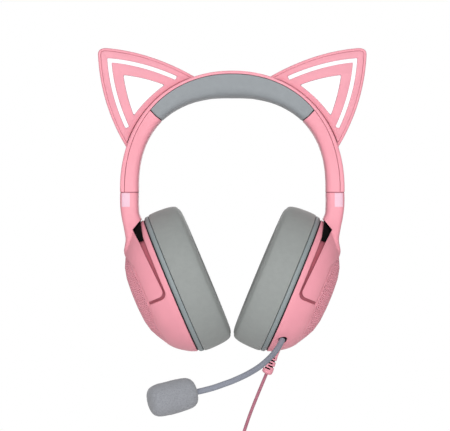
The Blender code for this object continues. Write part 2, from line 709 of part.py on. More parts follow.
def make_controls(shell):
    """Cuts the left shell for the pieces that only it has, and makes the controls."""
    wheel = cup_point(-19.9 * MM, 6.8 * MM, 31.2 * MM)
    button = BUTTON_FACE + BUTTON_AXIS * 3 * MM
    boom = MIC_EXIT + MIC_EXIT_AXIS * 5 * MM
    relief = cup_point(-36 * MM, RELIEF_T)
    cutters = [
        cylinder("wheel_slot", wheel, CUP_OUT, 7.6 * MM, 4.4 * MM, 24),
        cylinder("button_hole", button, -BUTTON_AXIS, 3.8 * MM, 16 * MM, 20),
        cylinder("boom_hole", boom, -MIC_EXIT_AXIS, 3.4 * MM, 18 * MM, 16),
        cylinder("relief_hole", relief, -CUP_UP, RELIEF_RADIUS + GAP, 24 * MM, 16),
    ]
    paint(carve(shell, *cutters), PINK, 0.42)
    teeth = 20
    rim = []
    for i in range(teeth * 2):
        radius = (7.0 if i % 2 else 6.5) * MM
        angle = math.pi * i / teeth
        rim.append(Vector((radius * math.cos(angle), radius * math.sin(angle), 0)))
    ends = (Vector(), Vector((0, 0, 3.6 * MM)))
    wheel = loft("volume_wheel", [[WHEEL_PLACE @ (point + end) for point in rim] for end in ends])
    paint(wheel, GREY_BOOM, 0.5)
    button = cylinder("mute_button", BUTTON_FACE, -BUTTON_AXIS, 3.5 * MM, 6.0 * MM, 20)
    paint(rounded(button, 0.5 * MM), GREY_BOOM, 0.5)
    corners = in_mm(((-29, -13), (5, -13), (5, 13), (-29, 13)))
    faces = [[cup_point(u, t * MM, y) for u, y in corners] for t in (13.8, 15.4)]
    paint(loft("sound_board", faces), GREEN, 0.6)


def make_microphone():
    ring = turned(
        "boom_grommet", in_mm(((2.35, 0.4), (3.1, 0.4), (3.1, -5.0), (2.35, -5.0))),
        frame_along(MIC_EXIT, MIC_EXIT_AXIS), steps=16,
    )
    paint(ring, BLACK, 0.7)
    path = smooth_path(in_mm(BOOM_ROUTE), 4.5 * MM)
    ends = [0] + [round(share * (len(path) - 1)) for share in BOOM_CUTS] + [len(path) - 1]
    names = ("boom_base", "boom_middle", "boom_tip")
    for name, first, last in zip(names, ends, ends[1:]):
        points = path[first:last + 1]
        if first:
            points[0] = points[0] + (points[1] - points[0]).normalized() * BOOM_JOINT_GAP / 2
        if last < len(path) - 1:
            points[-1] = points[-1] + (points[-2] - points[-1]).normalized() * BOOM_JOINT_GAP / 2
        paint(tube(name, points, BOOM_RADIUS), GREY_BOOM, 0.6)
    place = frame_along(FOAM_CENTRE - FOAM_AXIS * FOAM_LENGTH / 2, FOAM_AXIS)
    foam = turned(
        "mic_foam",
        in_mm((
            (0, 13.0), (5.0, 13.0), (5.0, 31.0), (2.7, 31.0), (2.7, 35.6), (6.5, 35.3), (9.3, 33.6),
            (10.9, 30.6), (11.7, 26.0), (12.0, 19.5), (12.0, 12.5), (11.5, 7.2), (9.9, 3.0),
            (6.2, 0.7), (0, 0),
        )),
        place, closed=False, steps=20,
    )
    foam = paint(foam, GREY_BOOM, 0.95)
    capsule = turned(
        "mic_capsule", in_mm(((0, 31.0), (3.4, 31.0), (4.6, 30.0), (4.6, 14.0), (0, 13.4))),
        place, closed=False, steps=16,
    )
    paint(capsule, BLACK, 0.5)


def make_cable():
    relief = turned(
        "strain_relief",
        in_mm((
            (0, 25.5), (2.1, 25.5), (3.4, 24.6), (4.1, 22.8), (4.1, 20.6), (3.3, 20.2),
            (3.3, 19.2), (3.9, 18.8), (3.8, 16.4), (3.1, 16.0), (3.1, 15.0), (3.5, 14.6),
            (3.2, 9.0), (3.2, 0), (0, 0),
        )),
        RELIEF_PLACE, closed=False, steps=16,
    )
    paint(relief, PINK, 0.6)
    for name, route in (("usb_cord", CORD_ROUTE), ("usb_cord_tail", TAIL_ROUTE)):
        paint(tube(name, smooth_path(in_mm(route), 3.2 * MM), CORD_RADIUS), CABLE, 0.6)
    section = [(x + COIL_TURN_RADIUS, y) for x, y in cut_corners(0.0, 1.5 * MM)]
    coil = turned("cord_coil", section, frame_along(COIL_CENTRE, (0, -1, 0)), steps=24)
    paint(coil, CABLE, 0.6)
    make_tie()
    make_plug()


def cut_corners(grow, cut):
    """The coil's section grown by a distance: a rectangle about its middle with cut corners."""
    x, y = COIL_SECTION[0] / 2 + grow, COIL_SECTION[1] / 2 + grow
    quarter = [(x, y - cut), (x - cut, y)]
    half = quarter + [(-a, b) for a, b in reversed(quarter)]
    return half + [(a, -b) for a, b in reversed(half)]


def make_tie():
    """A flat band round the coil's section."""
    away = Vector((math.cos(TIE_ANGLE), 0, math.sin(TIE_ANGLE)))
    along = Vector((-away.z, 0, away.x))
    middle = COIL_CENTRE + away * COIL_TURN_RADIUS

    def band(name, grow, wide):
        rings = []
        for side in (-0.5, 0.5):
            start = middle + along * wide * side
            corners = cut_corners(grow, 1.6 * MM)
            rings.append([start + away * x + Vector((0, y, 0)) for x, y in corners])
        return loft(name, rings)

    tie = carve(band("cord_tie", 1.9 * MM, 6 * MM), band("tie_hole", 0.9 * MM, 12 * MM))
    paint(tie, BLACK, 0.85)


def plug_box(name, size, top):
    """A box under the cord's end, from its top down."""
    x, y = TAIL_ROUTE[-1][0] * MM, TAIL_ROUTE[-1][1] * MM
    half_wide, half_deep = size[0] / 2, size[1] / 2
    low = (x - half_wide, y - half_deep, top - size[2])
    return box(name, low, (x + half_wide, y + half_deep, top))


def make_plug():
    body = plug_box("usb_plug_body", PLUG_BODY_SIZE, PLUG_TOP_Z)
    paint(rounded(body, 1.2 * MM), PINK, 0.5)
    wide, deep, tall = PLUG_SHELL_SIZE
    top = PLUG_TOP_Z - PLUG_BODY_SIZE[2] - GAP
    shell = plug_box("usb_plug_shell", PLUG_SHELL_SIZE, top)
    mouth = plug_box("plug_mouth", (wide - PLUG_WALL * 2, deep / 2, tall), top - 2 * MM)
    mouth.data.transform(Matrix.Translation((0, PLUG_WALL - deep / 4, 0)))
    paint(carve(shell, mouth), STEEL, 0.3, 1.0)


# ---------------------------------------------------------------- joint frames

def joint_frame(name, place, pieces, parent=None):
    """An empty on a joint's axis that carries the pieces that move with it."""
    empty = bpy.data.objects.new(name, None)
    empty.empty_display_size = 0.01
    PARTS.objects.link(empty)
    empty.location = place
    if parent:
        empty.parent = parent
        empty.location = Vector(place) - parent.matrix_world.translation
    bpy.context.view_layer.update()
    for piece in pieces:
        child = bpy.data.objects[piece]
        child.parent = empty
        child.matrix_parent_inverse = empty.matrix_world.inverted()
    return empty


def make_joint_frames():
    for side, sign in (("left", 1), ("right", -1)):
        flip = Matrix.Diagonal((sign, 1, 1))
        slider = joint_frame(
            f"slider_{side}_frame", flip @ Vector((STRIP_X[0], 0, BAND_END_Z)),
            [f"yoke_{side}", f"slider_strip_{side}", f"tilt_stop_{side}"],
        )
        cup = [
            "cup_shell", "grille", "ear_cushion", "baffle", "driver", "speaker_cloth", "pad_ring",
            "pivot_pin_front", "pivot_pin_rear",
        ]
        names = [f"{name}_{side}" for name in cup]
        if side == "left":
            names += [
                "sound_board", "boom_grommet", "strain_relief", "usb_cord", "cord_coil",
                "usb_cord_tail", "cord_tie", "usb_plug_body", "usb_plug_shell",
            ]
        tilt = joint_frame(f"tilt_{side}_frame", flip @ cup_point(0, PIVOT_T * MM), names, slider)
        if side == "left":
            joint_frame("volume_frame", WHEEL_PLACE.translation, ["volume_wheel"], tilt)
            joint_frame("mute_frame", BUTTON_FACE, ["mute_button"], tilt)
            base = joint_frame("mic_turn_frame", MIC_EXIT, ["boom_base"], tilt)
            path = smooth_path(in_mm(BOOM_ROUTE), 4.5 * MM)
            first, second = (path[round(share * (len(path) - 1))] for share in BOOM_CUTS)
            middle = joint_frame("mic_bend_frame", first, ["boom_middle"], base)
            joint_frame("mic_bend_2_frame", second, ["boom_tip", "mic_capsule", "mic_foam"], middle)


make_headband()
make_ears()
make_yoke()
make_controls(make_cups())
make_microphone()
make_cable()
make_joint_frames()
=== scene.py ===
"""Looks for the gaming headset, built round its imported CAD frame.

Metres, in the row frame: the origin is under the middle of the headband cushion, +Z is up, the wearer
faces -Y, and the wearer's left is +X.
"""

from math import copysign, cos, degrees, hypot, pi, radians, sin, sqrt

import bmesh
import bpy
import numpy as np
from mathutils import Matrix, Vector, noise


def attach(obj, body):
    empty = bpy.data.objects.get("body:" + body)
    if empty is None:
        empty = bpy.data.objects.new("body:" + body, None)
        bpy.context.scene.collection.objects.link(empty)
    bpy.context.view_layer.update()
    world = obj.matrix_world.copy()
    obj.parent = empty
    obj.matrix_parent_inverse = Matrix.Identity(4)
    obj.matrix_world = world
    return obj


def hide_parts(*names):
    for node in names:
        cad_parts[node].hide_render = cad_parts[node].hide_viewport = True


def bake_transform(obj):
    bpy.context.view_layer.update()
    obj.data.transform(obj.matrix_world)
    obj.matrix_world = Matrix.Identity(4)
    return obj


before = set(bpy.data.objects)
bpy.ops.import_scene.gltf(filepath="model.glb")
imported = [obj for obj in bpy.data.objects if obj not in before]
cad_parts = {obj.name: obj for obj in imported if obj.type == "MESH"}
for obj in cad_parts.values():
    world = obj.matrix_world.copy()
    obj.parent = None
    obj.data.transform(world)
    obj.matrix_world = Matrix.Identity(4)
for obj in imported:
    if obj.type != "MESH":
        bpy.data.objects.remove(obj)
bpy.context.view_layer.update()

MM = 0.001
SCENE = bpy.context.scene


def in_mm(points):
    return [tuple(value * MM for value in point) for point in points]


# ---------------------------------------------------------------- camera

def make_camera():
    camera = link("camera", bpy.data.cameras.new("camera"))
    camera.data.sensor_width = 36.0
    camera.data.lens = 200.0
    camera.data.clip_end = 20.0
    camera.location = (-5.4 * MM, -1862.5 * MM, -87.8 * MM)
    camera.rotation_euler = (pi / 2, 0, 0)
    SCENE.camera = camera
    SCENE.view_settings.view_transform = "Standard"


# ---------------------------------------------------------------- mesh helpers

def link(name, data):
    obj = bpy.data.objects.new(name, data)
    SCENE.collection.objects.link(obj)
    return obj


def to_object(name, bm):
    mesh = bpy.data.meshes.new(name)
    bm.to_mesh(mesh)
    bm.free()
    return link(name, mesh)


def from_bmesh(name, bm):
    bmesh.ops.recalc_face_normals(bm, faces=bm.faces)
    if bm.calc_volume(signed=True) < 0:
        bmesh.ops.reverse_faces(bm, faces=bm.faces)
    return to_object(name, bm)


def body(name, verts, faces):
    bm = bmesh.new()
    made = [bm.verts.new(point) for point in verts]
    for face in faces:
        bm.faces.new([made[i] for i in face])
    return from_bmesh(name, bm)


def shaded(obj, *materials, sharp=38):
    obj.data.materials.clear()
    for key in materials:
        obj.data.materials.append(MATERIALS[key].material)
    obj.data.shade_smooth()
    obj.data.set_sharp_from_angle(angle=radians(sharp))
    return obj


def around(count, radius=1.0):
    """Points evenly round a circle, as (x, y) pairs."""
    return [(radius * cos(2 * pi * i / count), radius * sin(2 * pi * i / count)) for i in range(count)]


def skin(rows):
    """Faces between neighbouring rows of vertex numbers, which are triangles where a row is one point."""
    faces = []
    for low, high in zip(rows, rows[1:]):
        for a, b, c, d in zip(low, low[1:] + low[:1], high[1:] + high[:1], high):
            faces.append(tuple(dict.fromkeys((a, b, c, d))))
    return faces


def loft(name, rings):
    """A capped body through rings of the same number of points."""
    count = len(rings[0])
    rows = [list(range(k * count, (k + 1) * count)) for k in range(len(rings))]
    return body(name, [point for ring in rings for point in ring], skin(rows) + [rows[0], rows[-1]])


def revolve(name, profile, place, ratio=1.0, closed=False, steps=144):
    """A profile of (radius, height) points turned about a frame's Z, its width scaled by a ratio."""
    verts, rows = [], []
    for radius, height in profile:
        start = len(verts)
        if radius < 1e-7:
            rows.append([start] * steps)
            verts.append(place @ Vector((0, 0, height)))
        else:
            rows.append(list(range(start, start + steps)))
            verts += [place @ Vector((x, y * ratio, height)) for x, y in around(steps, radius)]
    return body(name, verts, skin(rows + rows[:1] if closed else rows))


def quadratic(start, control, end, s):
    return tuple(start.lerp(control, s).lerp(control.lerp(end, s), s))


def softened(points, reach, count=4):
    """A closed outline with each corner turned into a curve that starts a reach before it."""
    reaches = reach if isinstance(reach, list) else [reach] * len(points)
    points = [Vector(point) for point in points]
    curve = []
    for before, corner, after, most in zip(points[-1:] + points, points, points[1:] + points[:1], reaches):
        size = min(most, (before - corner).length * 0.48, (after - corner).length * 0.48)
        if size < 1e-7:
            curve.append(tuple(corner))
            continue
        start = corner + (before - corner).normalized() * size
        end = corner + (after - corner).normalized() * size
        curve += [quadratic(start, corner, end, k / count) for k in range(count + 1)]
    return curve


def oblong(low, high, half):
    """Corners of a rectangle between two values of x, and a half width along y."""
    return [(low, -half), (high, -half), (high, half), (low, half)]


def smooth_through(knots, per_piece):
    """Points on a smooth curve through knots: per_piece to each stretch between two of them."""
    knots = [Vector(knot) for knot in knots]
    spread = [knots[0] * 2 - knots[1]] + knots + [knots[-1] * 2 - knots[-2]]
    fine = []
    for a, b, c, d in zip(spread, spread[1:], spread[2:], spread[3:]):
        square, cube = 2 * a - 5 * b + 4 * c - d, 3 * b - a - 3 * c + d
        for i in range(per_piece):
            s = i / per_piece
            fine.append(b + ((c - a) * s + square * s ** 2 + cube * s ** 3) / 2)
    return fine + [knots[-1]]


def spaced(points, step):
    """Points about a step apart along a line of points."""
    line = np.array([tuple(point) for point in points])
    along = np.concatenate([[0], np.cumsum(np.linalg.norm(np.diff(line, axis=0), axis=1))])
    count = max(2, round(along[-1] / step))
    wanted = np.linspace(0, along[-1], count + 1)
    return [Vector([float(np.interp(s, along, line[:, k])) for k in range(3)]) for s in wanted]


def inset(outline, distance):
    """The outline moved inwards, each corner along its mitre."""
    turn = sum(x * w - z * v for (x, z), (v, w) in zip(outline, outline[1:] + outline[:1]))
    points = [Vector(point) for point in outline]
    moved = []
    for before, point, after in zip(points[-1:] + points, points, points[1:] + points[:1]):
        edges = (point - before, after - point)
        normals = [Vector((-edge.y, edge.x)).normalized() * copysign(1, turn) for edge in edges]
        mitre = (normals[0] + normals[1]).normalized()
        moved.append(tuple(point + mitre * distance / max(0.35, mitre.dot(normals[0]))))
    return moved


def stacked(name, outline, levels):
    """A flat (x, z) outline made solid along Y: levels are (how far inset, y) pairs."""
    return loft(name, [[(x, y, z) for x, z in inset(outline, distance)] for distance, y in levels])


def box(name, low, high):
    bm = bmesh.new()
    bmesh.ops.create_cube(bm, size=1)
    low, high = Vector(low), Vector(high)
    bmesh.ops.scale(bm, vec=high - low, verts=bm.verts)
    bmesh.ops.translate(bm, vec=(low + high) / 2, verts=bm.verts)
    return from_bmesh(name, bm)


def frame_along(origin, axis):
    return Matrix.Translation(origin) @ Vector(axis).to_track_quat("Z", "Y").to_matrix().to_4x4()


def drill(origin, axis, radius, length, steps=48):
    """A cylinder to carve with."""
    profile = [(0, 0), (radius, 0), (radius, length), (0, length)]
    return revolve("drill", profile, frame_along(origin, axis), steps=steps)


def applied(obj):
    bpy.context.view_layer.update()
    evaluated = obj.evaluated_get(bpy.context.evaluated_depsgraph_get())
    mesh = bpy.data.meshes.new_from_object(evaluated)
    obj.modifiers.clear()
    obj.data = mesh
    return obj


def modified(obj, kind, **settings):
    """The body with one modifier applied."""
    step = obj.modifiers.new("step", kind)
    for key, value in settings.items():
        setattr(step, key, value)
    return applied(obj)


def combine(obj, others, operation):
    for other in others:
        modified(obj, "BOOLEAN", operation=operation, object=other)
        bpy.data.objects.remove(other, do_unlink=True)
    return obj


def carve(obj, *cutters):
    return combine(obj, cutters, "DIFFERENCE")


def through(outline):
    """A flat (x, z) outline made solid right through the headset."""
    return stacked("through", outline, [(0, -60 * MM), (0, 60 * MM)])


def kept_inside(obj, outline):
    return combine(obj, [through(outline)], "INTERSECT")


def bevelled(obj, width, limit=40):
    return modified(obj, "BEVEL", width=width, segments=2, limit_method="ANGLE", angle_limit=radians(limit))


def moulded(obj, voxel, rounds):
    """The body remeshed evenly and relaxed, which rounds its edges as a mould does."""
    modified(obj, "REMESH", mode="VOXEL", voxel_size=voxel)
    return modified(obj, "SMOOTH", factor=0.5, iterations=rounds)


def mirrored(obj, name):
    mesh = obj.data.copy()
    mesh.name = name
    mesh.transform(Matrix.Diagonal((-1, 1, 1, 1)))
    mesh.flip_normals()
    return link(name, mesh)


def settle(obj, rides_on, slot, *nodes):
    """The piece rides on a CAD body and stands for CAD nodes, which it hides; the slot is not used."""
    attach(obj, rides_on)
    if nodes:
        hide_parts(*nodes)
    return obj


def pair(obj, rides_on, slot, *nodes):
    """The left piece, whose name ends in _left, and its mirror image on the right, both settled."""
    names = (rides_on, slot, *nodes)
    twin = mirrored(obj, obj.name.replace("_left", "_right"))
    settle(obj, *names)
    settle(twin, *(name.replace("_left", "_right") for name in names))
    return obj, twin


def inflated(obj, held, pressure, cap):
    """A short cloth simulation that puffs the piece up; no point moves more than the cap."""
    group = obj.vertex_groups.new(name="held")
    group.add(held, 1.0, "REPLACE")
    cloth = obj.modifiers.new("cloth", "CLOTH")
    cloth.settings.vertex_group_mass = "held"
    cloth.settings.use_pressure = True
    cloth.settings.uniform_pressure_force = pressure
    cloth.settings.effector_weights.gravity = 0.0
    cloth.point_cache.frame_start, cloth.point_cache.frame_end = 1, 20
    for step in range(1, 21):
        SCENE.frame_set(step)
    evaluated = obj.evaluated_get(bpy.context.evaluated_depsgraph_get())
    moved = np.array([tuple(vert.co) for vert in evaluated.data.vertices])
    rest = np.array([tuple(vert.co) for vert in obj.data.vertices])
    obj.modifiers.clear()
    obj.vertex_groups.clear()
    SCENE.frame_set(1)
    shift = moved - rest
    size = np.linalg.norm(shift, axis=1, keepdims=True)
    shift *= np.minimum(1.0, cap / np.maximum(size, 1e-9))
    obj.data.vertices.foreach_set("co", (rest + shift).astype(np.float32).ravel())
    obj.data.update()
    return obj


def subdivided(obj):
    return modified(obj, "SUBSURF", levels=1, render_levels=1)


# ---------------------------------------------------------------- materials

def srgb(*values):
    return tuple(((v / 255 + 0.055) / 1.055) ** 2.4 for v in values) + (1.0,)


def scaled(colour, factor):
    return tuple(min(1.0, v * factor) for v in colour[:3]) + (1.0,)


class Finish:
    """A node material in the making: its shader, and object coordinates for its textures."""

    def __init__(self, name, colour, roughness, **sockets):
        self.material = bpy.data.materials.new(name)
        self.material.use_nodes = True
        self.tree = self.material.node_tree
        self.shader = self.tree.nodes["Principled BSDF"]
        self.colour = colour
        self.shader.inputs["Base Color"].default_value = colour
        self.shader.inputs["Roughness"].default_value = roughness
        for socket, value in sockets.items():
            self.shader.inputs[socket.replace("_", " ")].default_value = value
        self.place = self.tree.nodes.new("ShaderNodeTexCoord").outputs["Object"]
        self.normal = None

    def add(self, kind, sockets, **settings):
        node = self.tree.nodes.new("ShaderNode" + kind)
        for key, value in settings.items():
            setattr(node, key, value)
        for key, value in sockets.items():
            if isinstance(value, bpy.types.NodeSocket):
                self.tree.links.new(value, node.inputs[key])
            else:
                node.inputs[key].default_value = value
        return node

    def noise(self, scale, detail=2.0, vector=None):
        sockets = {"Vector": vector or self.place, "Scale": scale, "Detail": detail}
        return self.add("TexNoise", sockets).outputs["Fac"]

    def mix(self, share, first, second):
        return self.add("MixRGB", {"Fac": share, "Color1": first, "Color2": second}).outputs["Color"]

    def math(self, operation, first, second=0.0):
        return self.add("Math", {0: first, 1: second}, operation=operation).outputs[0]

    def span(self, value, low, high, out_low=0.0, out_high=1.0):
        sockets = {"Value": value, "From Min": low, "From Max": high, "To Min": out_low, "To Max": out_high}
        return self.add("MapRange", sockets).outputs["Result"]

    def paint(self, colour):
        self.tree.links.new(colour, self.shader.inputs["Base Color"])
        return self

    def mottle(self, scale, amount):
        """Soft variation of the colour about itself."""
        share = self.span(self.noise(scale), 0.3, 0.7)
        return self.paint(self.mix(share, scaled(self.colour, 1 - amount), scaled(self.colour, 1 + amount)))

    def polish(self, scale, low, high):
        """Uneven roughness."""
        share = self.span(self.noise(scale), 0.3, 0.7, low, high)
        self.tree.links.new(share, self.shader.inputs["Roughness"])
        return self

    def bump(self, height, strength, distance):
        sockets = {"Height": height, "Strength": strength, "Distance": distance}
        if self.normal:
            sockets["Normal"] = self.normal
        self.normal = self.add("Bump", sockets).outputs["Normal"]
        self.tree.links.new(self.normal, self.shader.inputs["Normal"])
        return self

    def cells(self, scale):
        return self.add("TexVoronoi", {"Vector": self.place, "Scale": scale}).outputs["Distance"]


def plastic(name, colour, roughness=0.42, grain=0.12):
    made = Finish(name, colour, roughness, Specular_IOR_Level=0.35)
    made.mottle(60, 0.018).polish(240, roughness - 0.05, roughness + 0.06)
    return made.bump(made.noise(2600, 3), grain, 0.00006)


def leatherette(name, colour):
    made = Finish(name, colour, 0.62, Specular_IOR_Level=0.3, Sheen_Weight=0.15, Sheen_Roughness=0.5)
    pores = made.span(made.cells(1500), 0.0, 0.55)
    creases = made.noise(260, 4)
    share = made.math("MULTIPLY", made.span(creases, 0.3, 0.7), made.span(pores, 0.0, 1.0, 0.75, 1.0))
    made.paint(made.mix(share, scaled(colour, 0.965), scaled(colour, 1.02)))
    made.polish(400, 0.55, 0.7)
    made.bump(pores, 0.2, 0.00008)
    return made.bump(creases, 0.07, 0.0003)


PINK = srgb(241, 159, 173)
GREY = srgb(149, 153, 151)


PATCH_X = (0.0757, 0.0820)
PATCH_Z = (-0.0815, -0.0709)
PATCH_Y = -0.006  # the patch lies in front of this
PATCH_EDGE = 0.25 * MM


def patched_pink():
    """The pink plastic with a small blank pale pad-print on the front of each arm."""
    made = plastic("pink_with_patch", PINK)
    parts = made.add("SeparateXYZ", {"Vector": made.place}).outputs
    share = made.span(parts["Y"], PATCH_Y, PATCH_Y - 0.001)
    for value, (low, high) in ((made.math("ABSOLUTE", parts["X"]), PATCH_X), (parts["Z"], PATCH_Z)):
        share = made.math("MULTIPLY", share, made.span(value, low, low + PATCH_EDGE))
        share = made.math("MULTIPLY", share, made.span(value, high, high - PATCH_EDGE))
    base = made.shader.inputs["Base Color"].links[0].from_socket
    return made.paint(made.mix(share, base, srgb(238, 196, 213)))


def brushed(name, colour, roughness):
    made = Finish(name, colour, roughness, Metallic=1.0)
    lines = made.add("Mapping", {"Vector": made.place, "Scale": (1.0, 1.0, 0.03)}).outputs["Vector"]
    streaks = made.noise(5200, 3, lines)
    made.paint(made.mix(streaks, scaled(colour, 0.86), scaled(colour, 1.1)))
    made.polish(900, roughness - 0.08, roughness + 0.1)
    return made.bump(streaks, 0.1, 0.00003)


def circuit(name):
    """A green board with lighter tracks and dull solder pads."""
    made = Finish(name, srgb(24, 92, 52), 0.4, Specular_IOR_Level=0.5)
    tracks = made.add("TexBrick", {
        "Vector": made.place, "Scale": 240.0, "Mortar Size": 0.05,
        "Color1": srgb(22, 88, 50), "Color2": srgb(27, 99, 56), "Mortar": srgb(70, 142, 86),
    }).outputs["Color"]
    pads = made.span(made.cells(420), 0.12, 0.1)
    return made.paint(made.mix(pads, tracks, srgb(168, 170, 165)))


def woven(name, colour, scale):
    """Plain weave from two sets of threads that cross."""
    made = Finish(name, colour, 0.85, Sheen_Weight=0.3, Sheen_Roughness=0.4)
    waves = []
    for direction in ("X", "Y"):
        waves.append(made.add(
            "TexWave", {"Vector": made.place, "Scale": scale, "Distortion": 0.3}, bands_direction=direction,
        ).outputs["Fac"])
    threads = made.math("MAXIMUM", *waves)
    made.paint(made.mix(threads, scaled(colour, 0.45), scaled(colour, 1.3)))
    return made.bump(threads, 0.5, 0.0002)


def foam():
    colour = srgb(147, 149, 155)
    made = Finish("foam", colour, 0.95, Specular_IOR_Level=0.15, Sheen_Weight=0.25, Sheen_Roughness=0.6)
    pores = made.span(made.cells(1300), 0.05, 0.5)
    share = made.math("MULTIPLY", pores, made.span(made.noise(700, 3), 0.25, 0.75, 0.6, 1.0))
    made.paint(made.mix(share, scaled(colour, 0.72), scaled(colour, 1.13)))
    return made.bump(pores, 0.5, 0.0003)


def glow():
    """The lit diffuser of the ears: brighter in the middle of the sheet than at grazing angles."""
    made = Finish("ear_light", srgb(118, 116, 120), 0.35, Emission_Strength=0.86)
    light = made.mix(made.noise(90), srgb(252, 252, 255), srgb(255, 255, 255))
    made.tree.links.new(light, made.shader.inputs["Emission Color"])
    return made.polish(300, 0.3, 0.4)


def rubber(name, colour, roughness=0.6, gloss=0.3):
    made = Finish(name, colour, roughness, Specular_IOR_Level=gloss)
    made.mottle(90, 0.03).polish(500, roughness - 0.06, roughness + 0.08)
    return made.bump(made.noise(3200, 3), 0.18, 0.00006)


def jacket():
    """The lead's jacket: soft rubber with faint scuffs."""
    colour = srgb(176, 108, 126)
    made = Finish("lead_jacket", colour, 0.5, Specular_IOR_Level=0.35)
    share = made.span(made.noise(160, 4), 0.35, 0.7)
    made.paint(made.mix(share, scaled(colour, 0.9), scaled(colour, 1.08))).polish(420, 0.44, 0.6)
    return made.bump(made.noise(2400, 3), 0.14, 0.00005)


MATERIALS = {
    "pink": plastic("pink_plastic", PINK),
    "pink_patch": patched_pink(),
    "pink_face": plastic("pink_ear_face", srgb(237, 160, 174), 0.5),
    # a darker pink: painted shade for the faces inside the cups' recesses
    "pink_recess": plastic("pink_recess", srgb(188, 108, 122), 0.6),
    # a dark pink: painted shade for the gap at the top of each arm
    "pink_seam": plastic("pink_seam", srgb(150, 74, 90), 0.7),
    "pink_grille": plastic("pink_grille", srgb(236, 160, 174), 0.5),
    "grille_back": woven("grille_cloth", srgb(142, 84, 98), 900),
    "pink_rubber": rubber("pink_rubber", srgb(238, 160, 174), 0.55),
    "band_grey": leatherette("band_leatherette", srgb(148, 153, 157)),
    "pad_grey": leatherette("pad_leatherette", GREY),
    "trim_grey": plastic("trim_grey", srgb(140, 149, 151), 0.45),
    "boom_grey": rubber("boom_rubber", srgb(144, 148, 160), 0.55),
    "key_grey": plastic("key_grey", srgb(144, 148, 160), 0.4),
    "black": plastic("black_plastic", srgb(8, 9, 10), 0.6, 0.2),
    "black_rubber": rubber("black_rubber", srgb(5, 6, 7), 0.9, 0.12),
    "speaker_cloth": woven("speaker_cloth", srgb(26, 27, 29), 700),
    "strap": woven("strap_weave", srgb(24, 25, 28), 1100),
    "steel": brushed("steel", srgb(158, 160, 165), 0.5),
    "cone": plastic("driver_cone", srgb(60, 62, 66), 0.55, 0.3),
    "board": circuit("board"),
    "foam": foam(),
    "glow": glow(),
    "jacket": jacket(),
    "contact": brushed("contacts", srgb(214, 178, 96), 0.25),
}


# ---------------------------------------------------------------- the lead, its coil, tie and plug

CORD_RADIUS = 1.25 * MM
CORD_ROUTE = in_mm((
    (25.74, 0, -205.05), (19.2, -0.2, -220.7), (13.8, -1.6, -234.2), (9.6, -3.6, -246),
    (6.2, -5.4, -256.6),
))
COIL_CENTRE = Vector((21.5, 0.0, -272.6)) * MM
COIL_RADII = (10.85 * MM, 19.25 * MM)
COIL_TURNS = 20
COIL_DISCS = 6
COIL_START = 171.4  # degrees: where the lead runs onto the coil; it leaves the coil at 180
COIL_CROSSING = 110  # degrees over which the lead passes from one disc to the next
DISC_PITCH = 2.52 * MM
TIE_ANGLE = radians(55)
TAIL_END = (2.45 * MM, 6.3 * MM, -302.0 * MM)
PLUG_TOP_Z = -299.8 * MM


def coil_points():
    """Flat spirals beside each other, wound inwards and outwards in turn."""
    sweep = COIL_TURNS * 360 + 180 - COIL_START
    period = sweep / COIL_DISCS
    slope = (COIL_RADII[1] - COIL_RADII[0]) / period
    points = []
    for k in range(COIL_TURNS * 30 + 1):
        turned = sweep * k / (COIL_TURNS * 30)
        radius = COIL_RADII[0] + slope * abs(turned % (2 * period) - period)
        y = -2.5 * DISC_PITCH
        for j in range(1, COIL_DISCS):
            off = turned - j * period
            if abs(off) < COIL_CROSSING / 2:
                bow = slope * (off * off / COIL_CROSSING + COIL_CROSSING / 4 - abs(off))
                radius += bow if j % 2 else -bow
            s = min(1.0, max(0.0, off / COIL_CROSSING + 0.5))
            y += DISC_PITCH * s * s * (3 - 2 * s)
        a = radians(COIL_START + turned)
        points.append(COIL_CENTRE + Vector((radius * cos(a), y, radius * sin(a))))
    return points


def make_lead():
    coil = coil_points()
    tail = [(coil[-1].lerp(Vector(TAIL_END), s)) for s in (0.35, 0.7, 1.0)]
    knots = [Vector(point) for point in CORD_ROUTE] + coil + tail
    route = spaced(smooth_through(knots, 6), 2.4 * MM)
    curve = bpy.data.curves.new("usb_lead", "CURVE")
    curve.dimensions = "3D"
    curve.bevel_depth = CORD_RADIUS
    curve.bevel_resolution = 3
    curve.use_fill_caps = True
    spline = curve.splines.new("POLY")
    spline.points.add(len(route) - 1)
    for point, place in zip(spline.points, route):
        point.co = (*place, 1)
    spline.use_smooth = True
    lead = link("usb_lead", curve)
    curve.materials.append(MATERIALS["jacket"].material)
    settle(lead, "cup_left", "cable_pink", "usb_cord", "cord_coil", "usb_cord_tail")
    pieces = [make_tie(), *make_plug()]
    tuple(CORD_ROUTE[0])


def make_tie():
    """A hook-and-loop strap round the coil's turns, its end lapped over itself."""
    away = Vector((cos(TIE_ANGLE), 0, sin(TIE_ANGLE)))
    along = Vector((-away.z, 0, away.x))
    middle = COIL_CENTRE + away * sum(COIL_RADII) / 2
    half_radial = (COIL_RADII[1] - COIL_RADII[0]) / 2 + CORD_RADIUS
    half_axial = 2.5 * DISC_PITCH + CORD_RADIUS
    rings = []
    steps = 84
    for k in range(steps + 1):
        a = radians(-40 + 415 * k / steps)
        lap = 0.75 * MM * min(1.0, max(0.0, (k / steps - 0.84) / 0.08))
        grow = 0.35 * MM + lap
        shape = (abs(cos(a)) ** 5 + abs(sin(a)) ** 5) ** -0.2
        x, y = (half_radial + grow) * shape * cos(a), (half_axial + grow) * shape * sin(a)
        out = Vector((x, y)).normalized() * 0.65 * MM
        section = []
        for across, up in softened([(-3, 0), (-3, 1), (3, 1), (3, 0)], 0.35, 2):
            place = middle + away * (x + out.x * up) + Vector((0, y + out.y * up, 0))
            section.append(place + along * across * MM)
        rings.append(section)
    tie = shaded(loft("lead_strap", rings), "strap")
    return settle(tie, "cup_left", "black_rubber", "cord_tie")


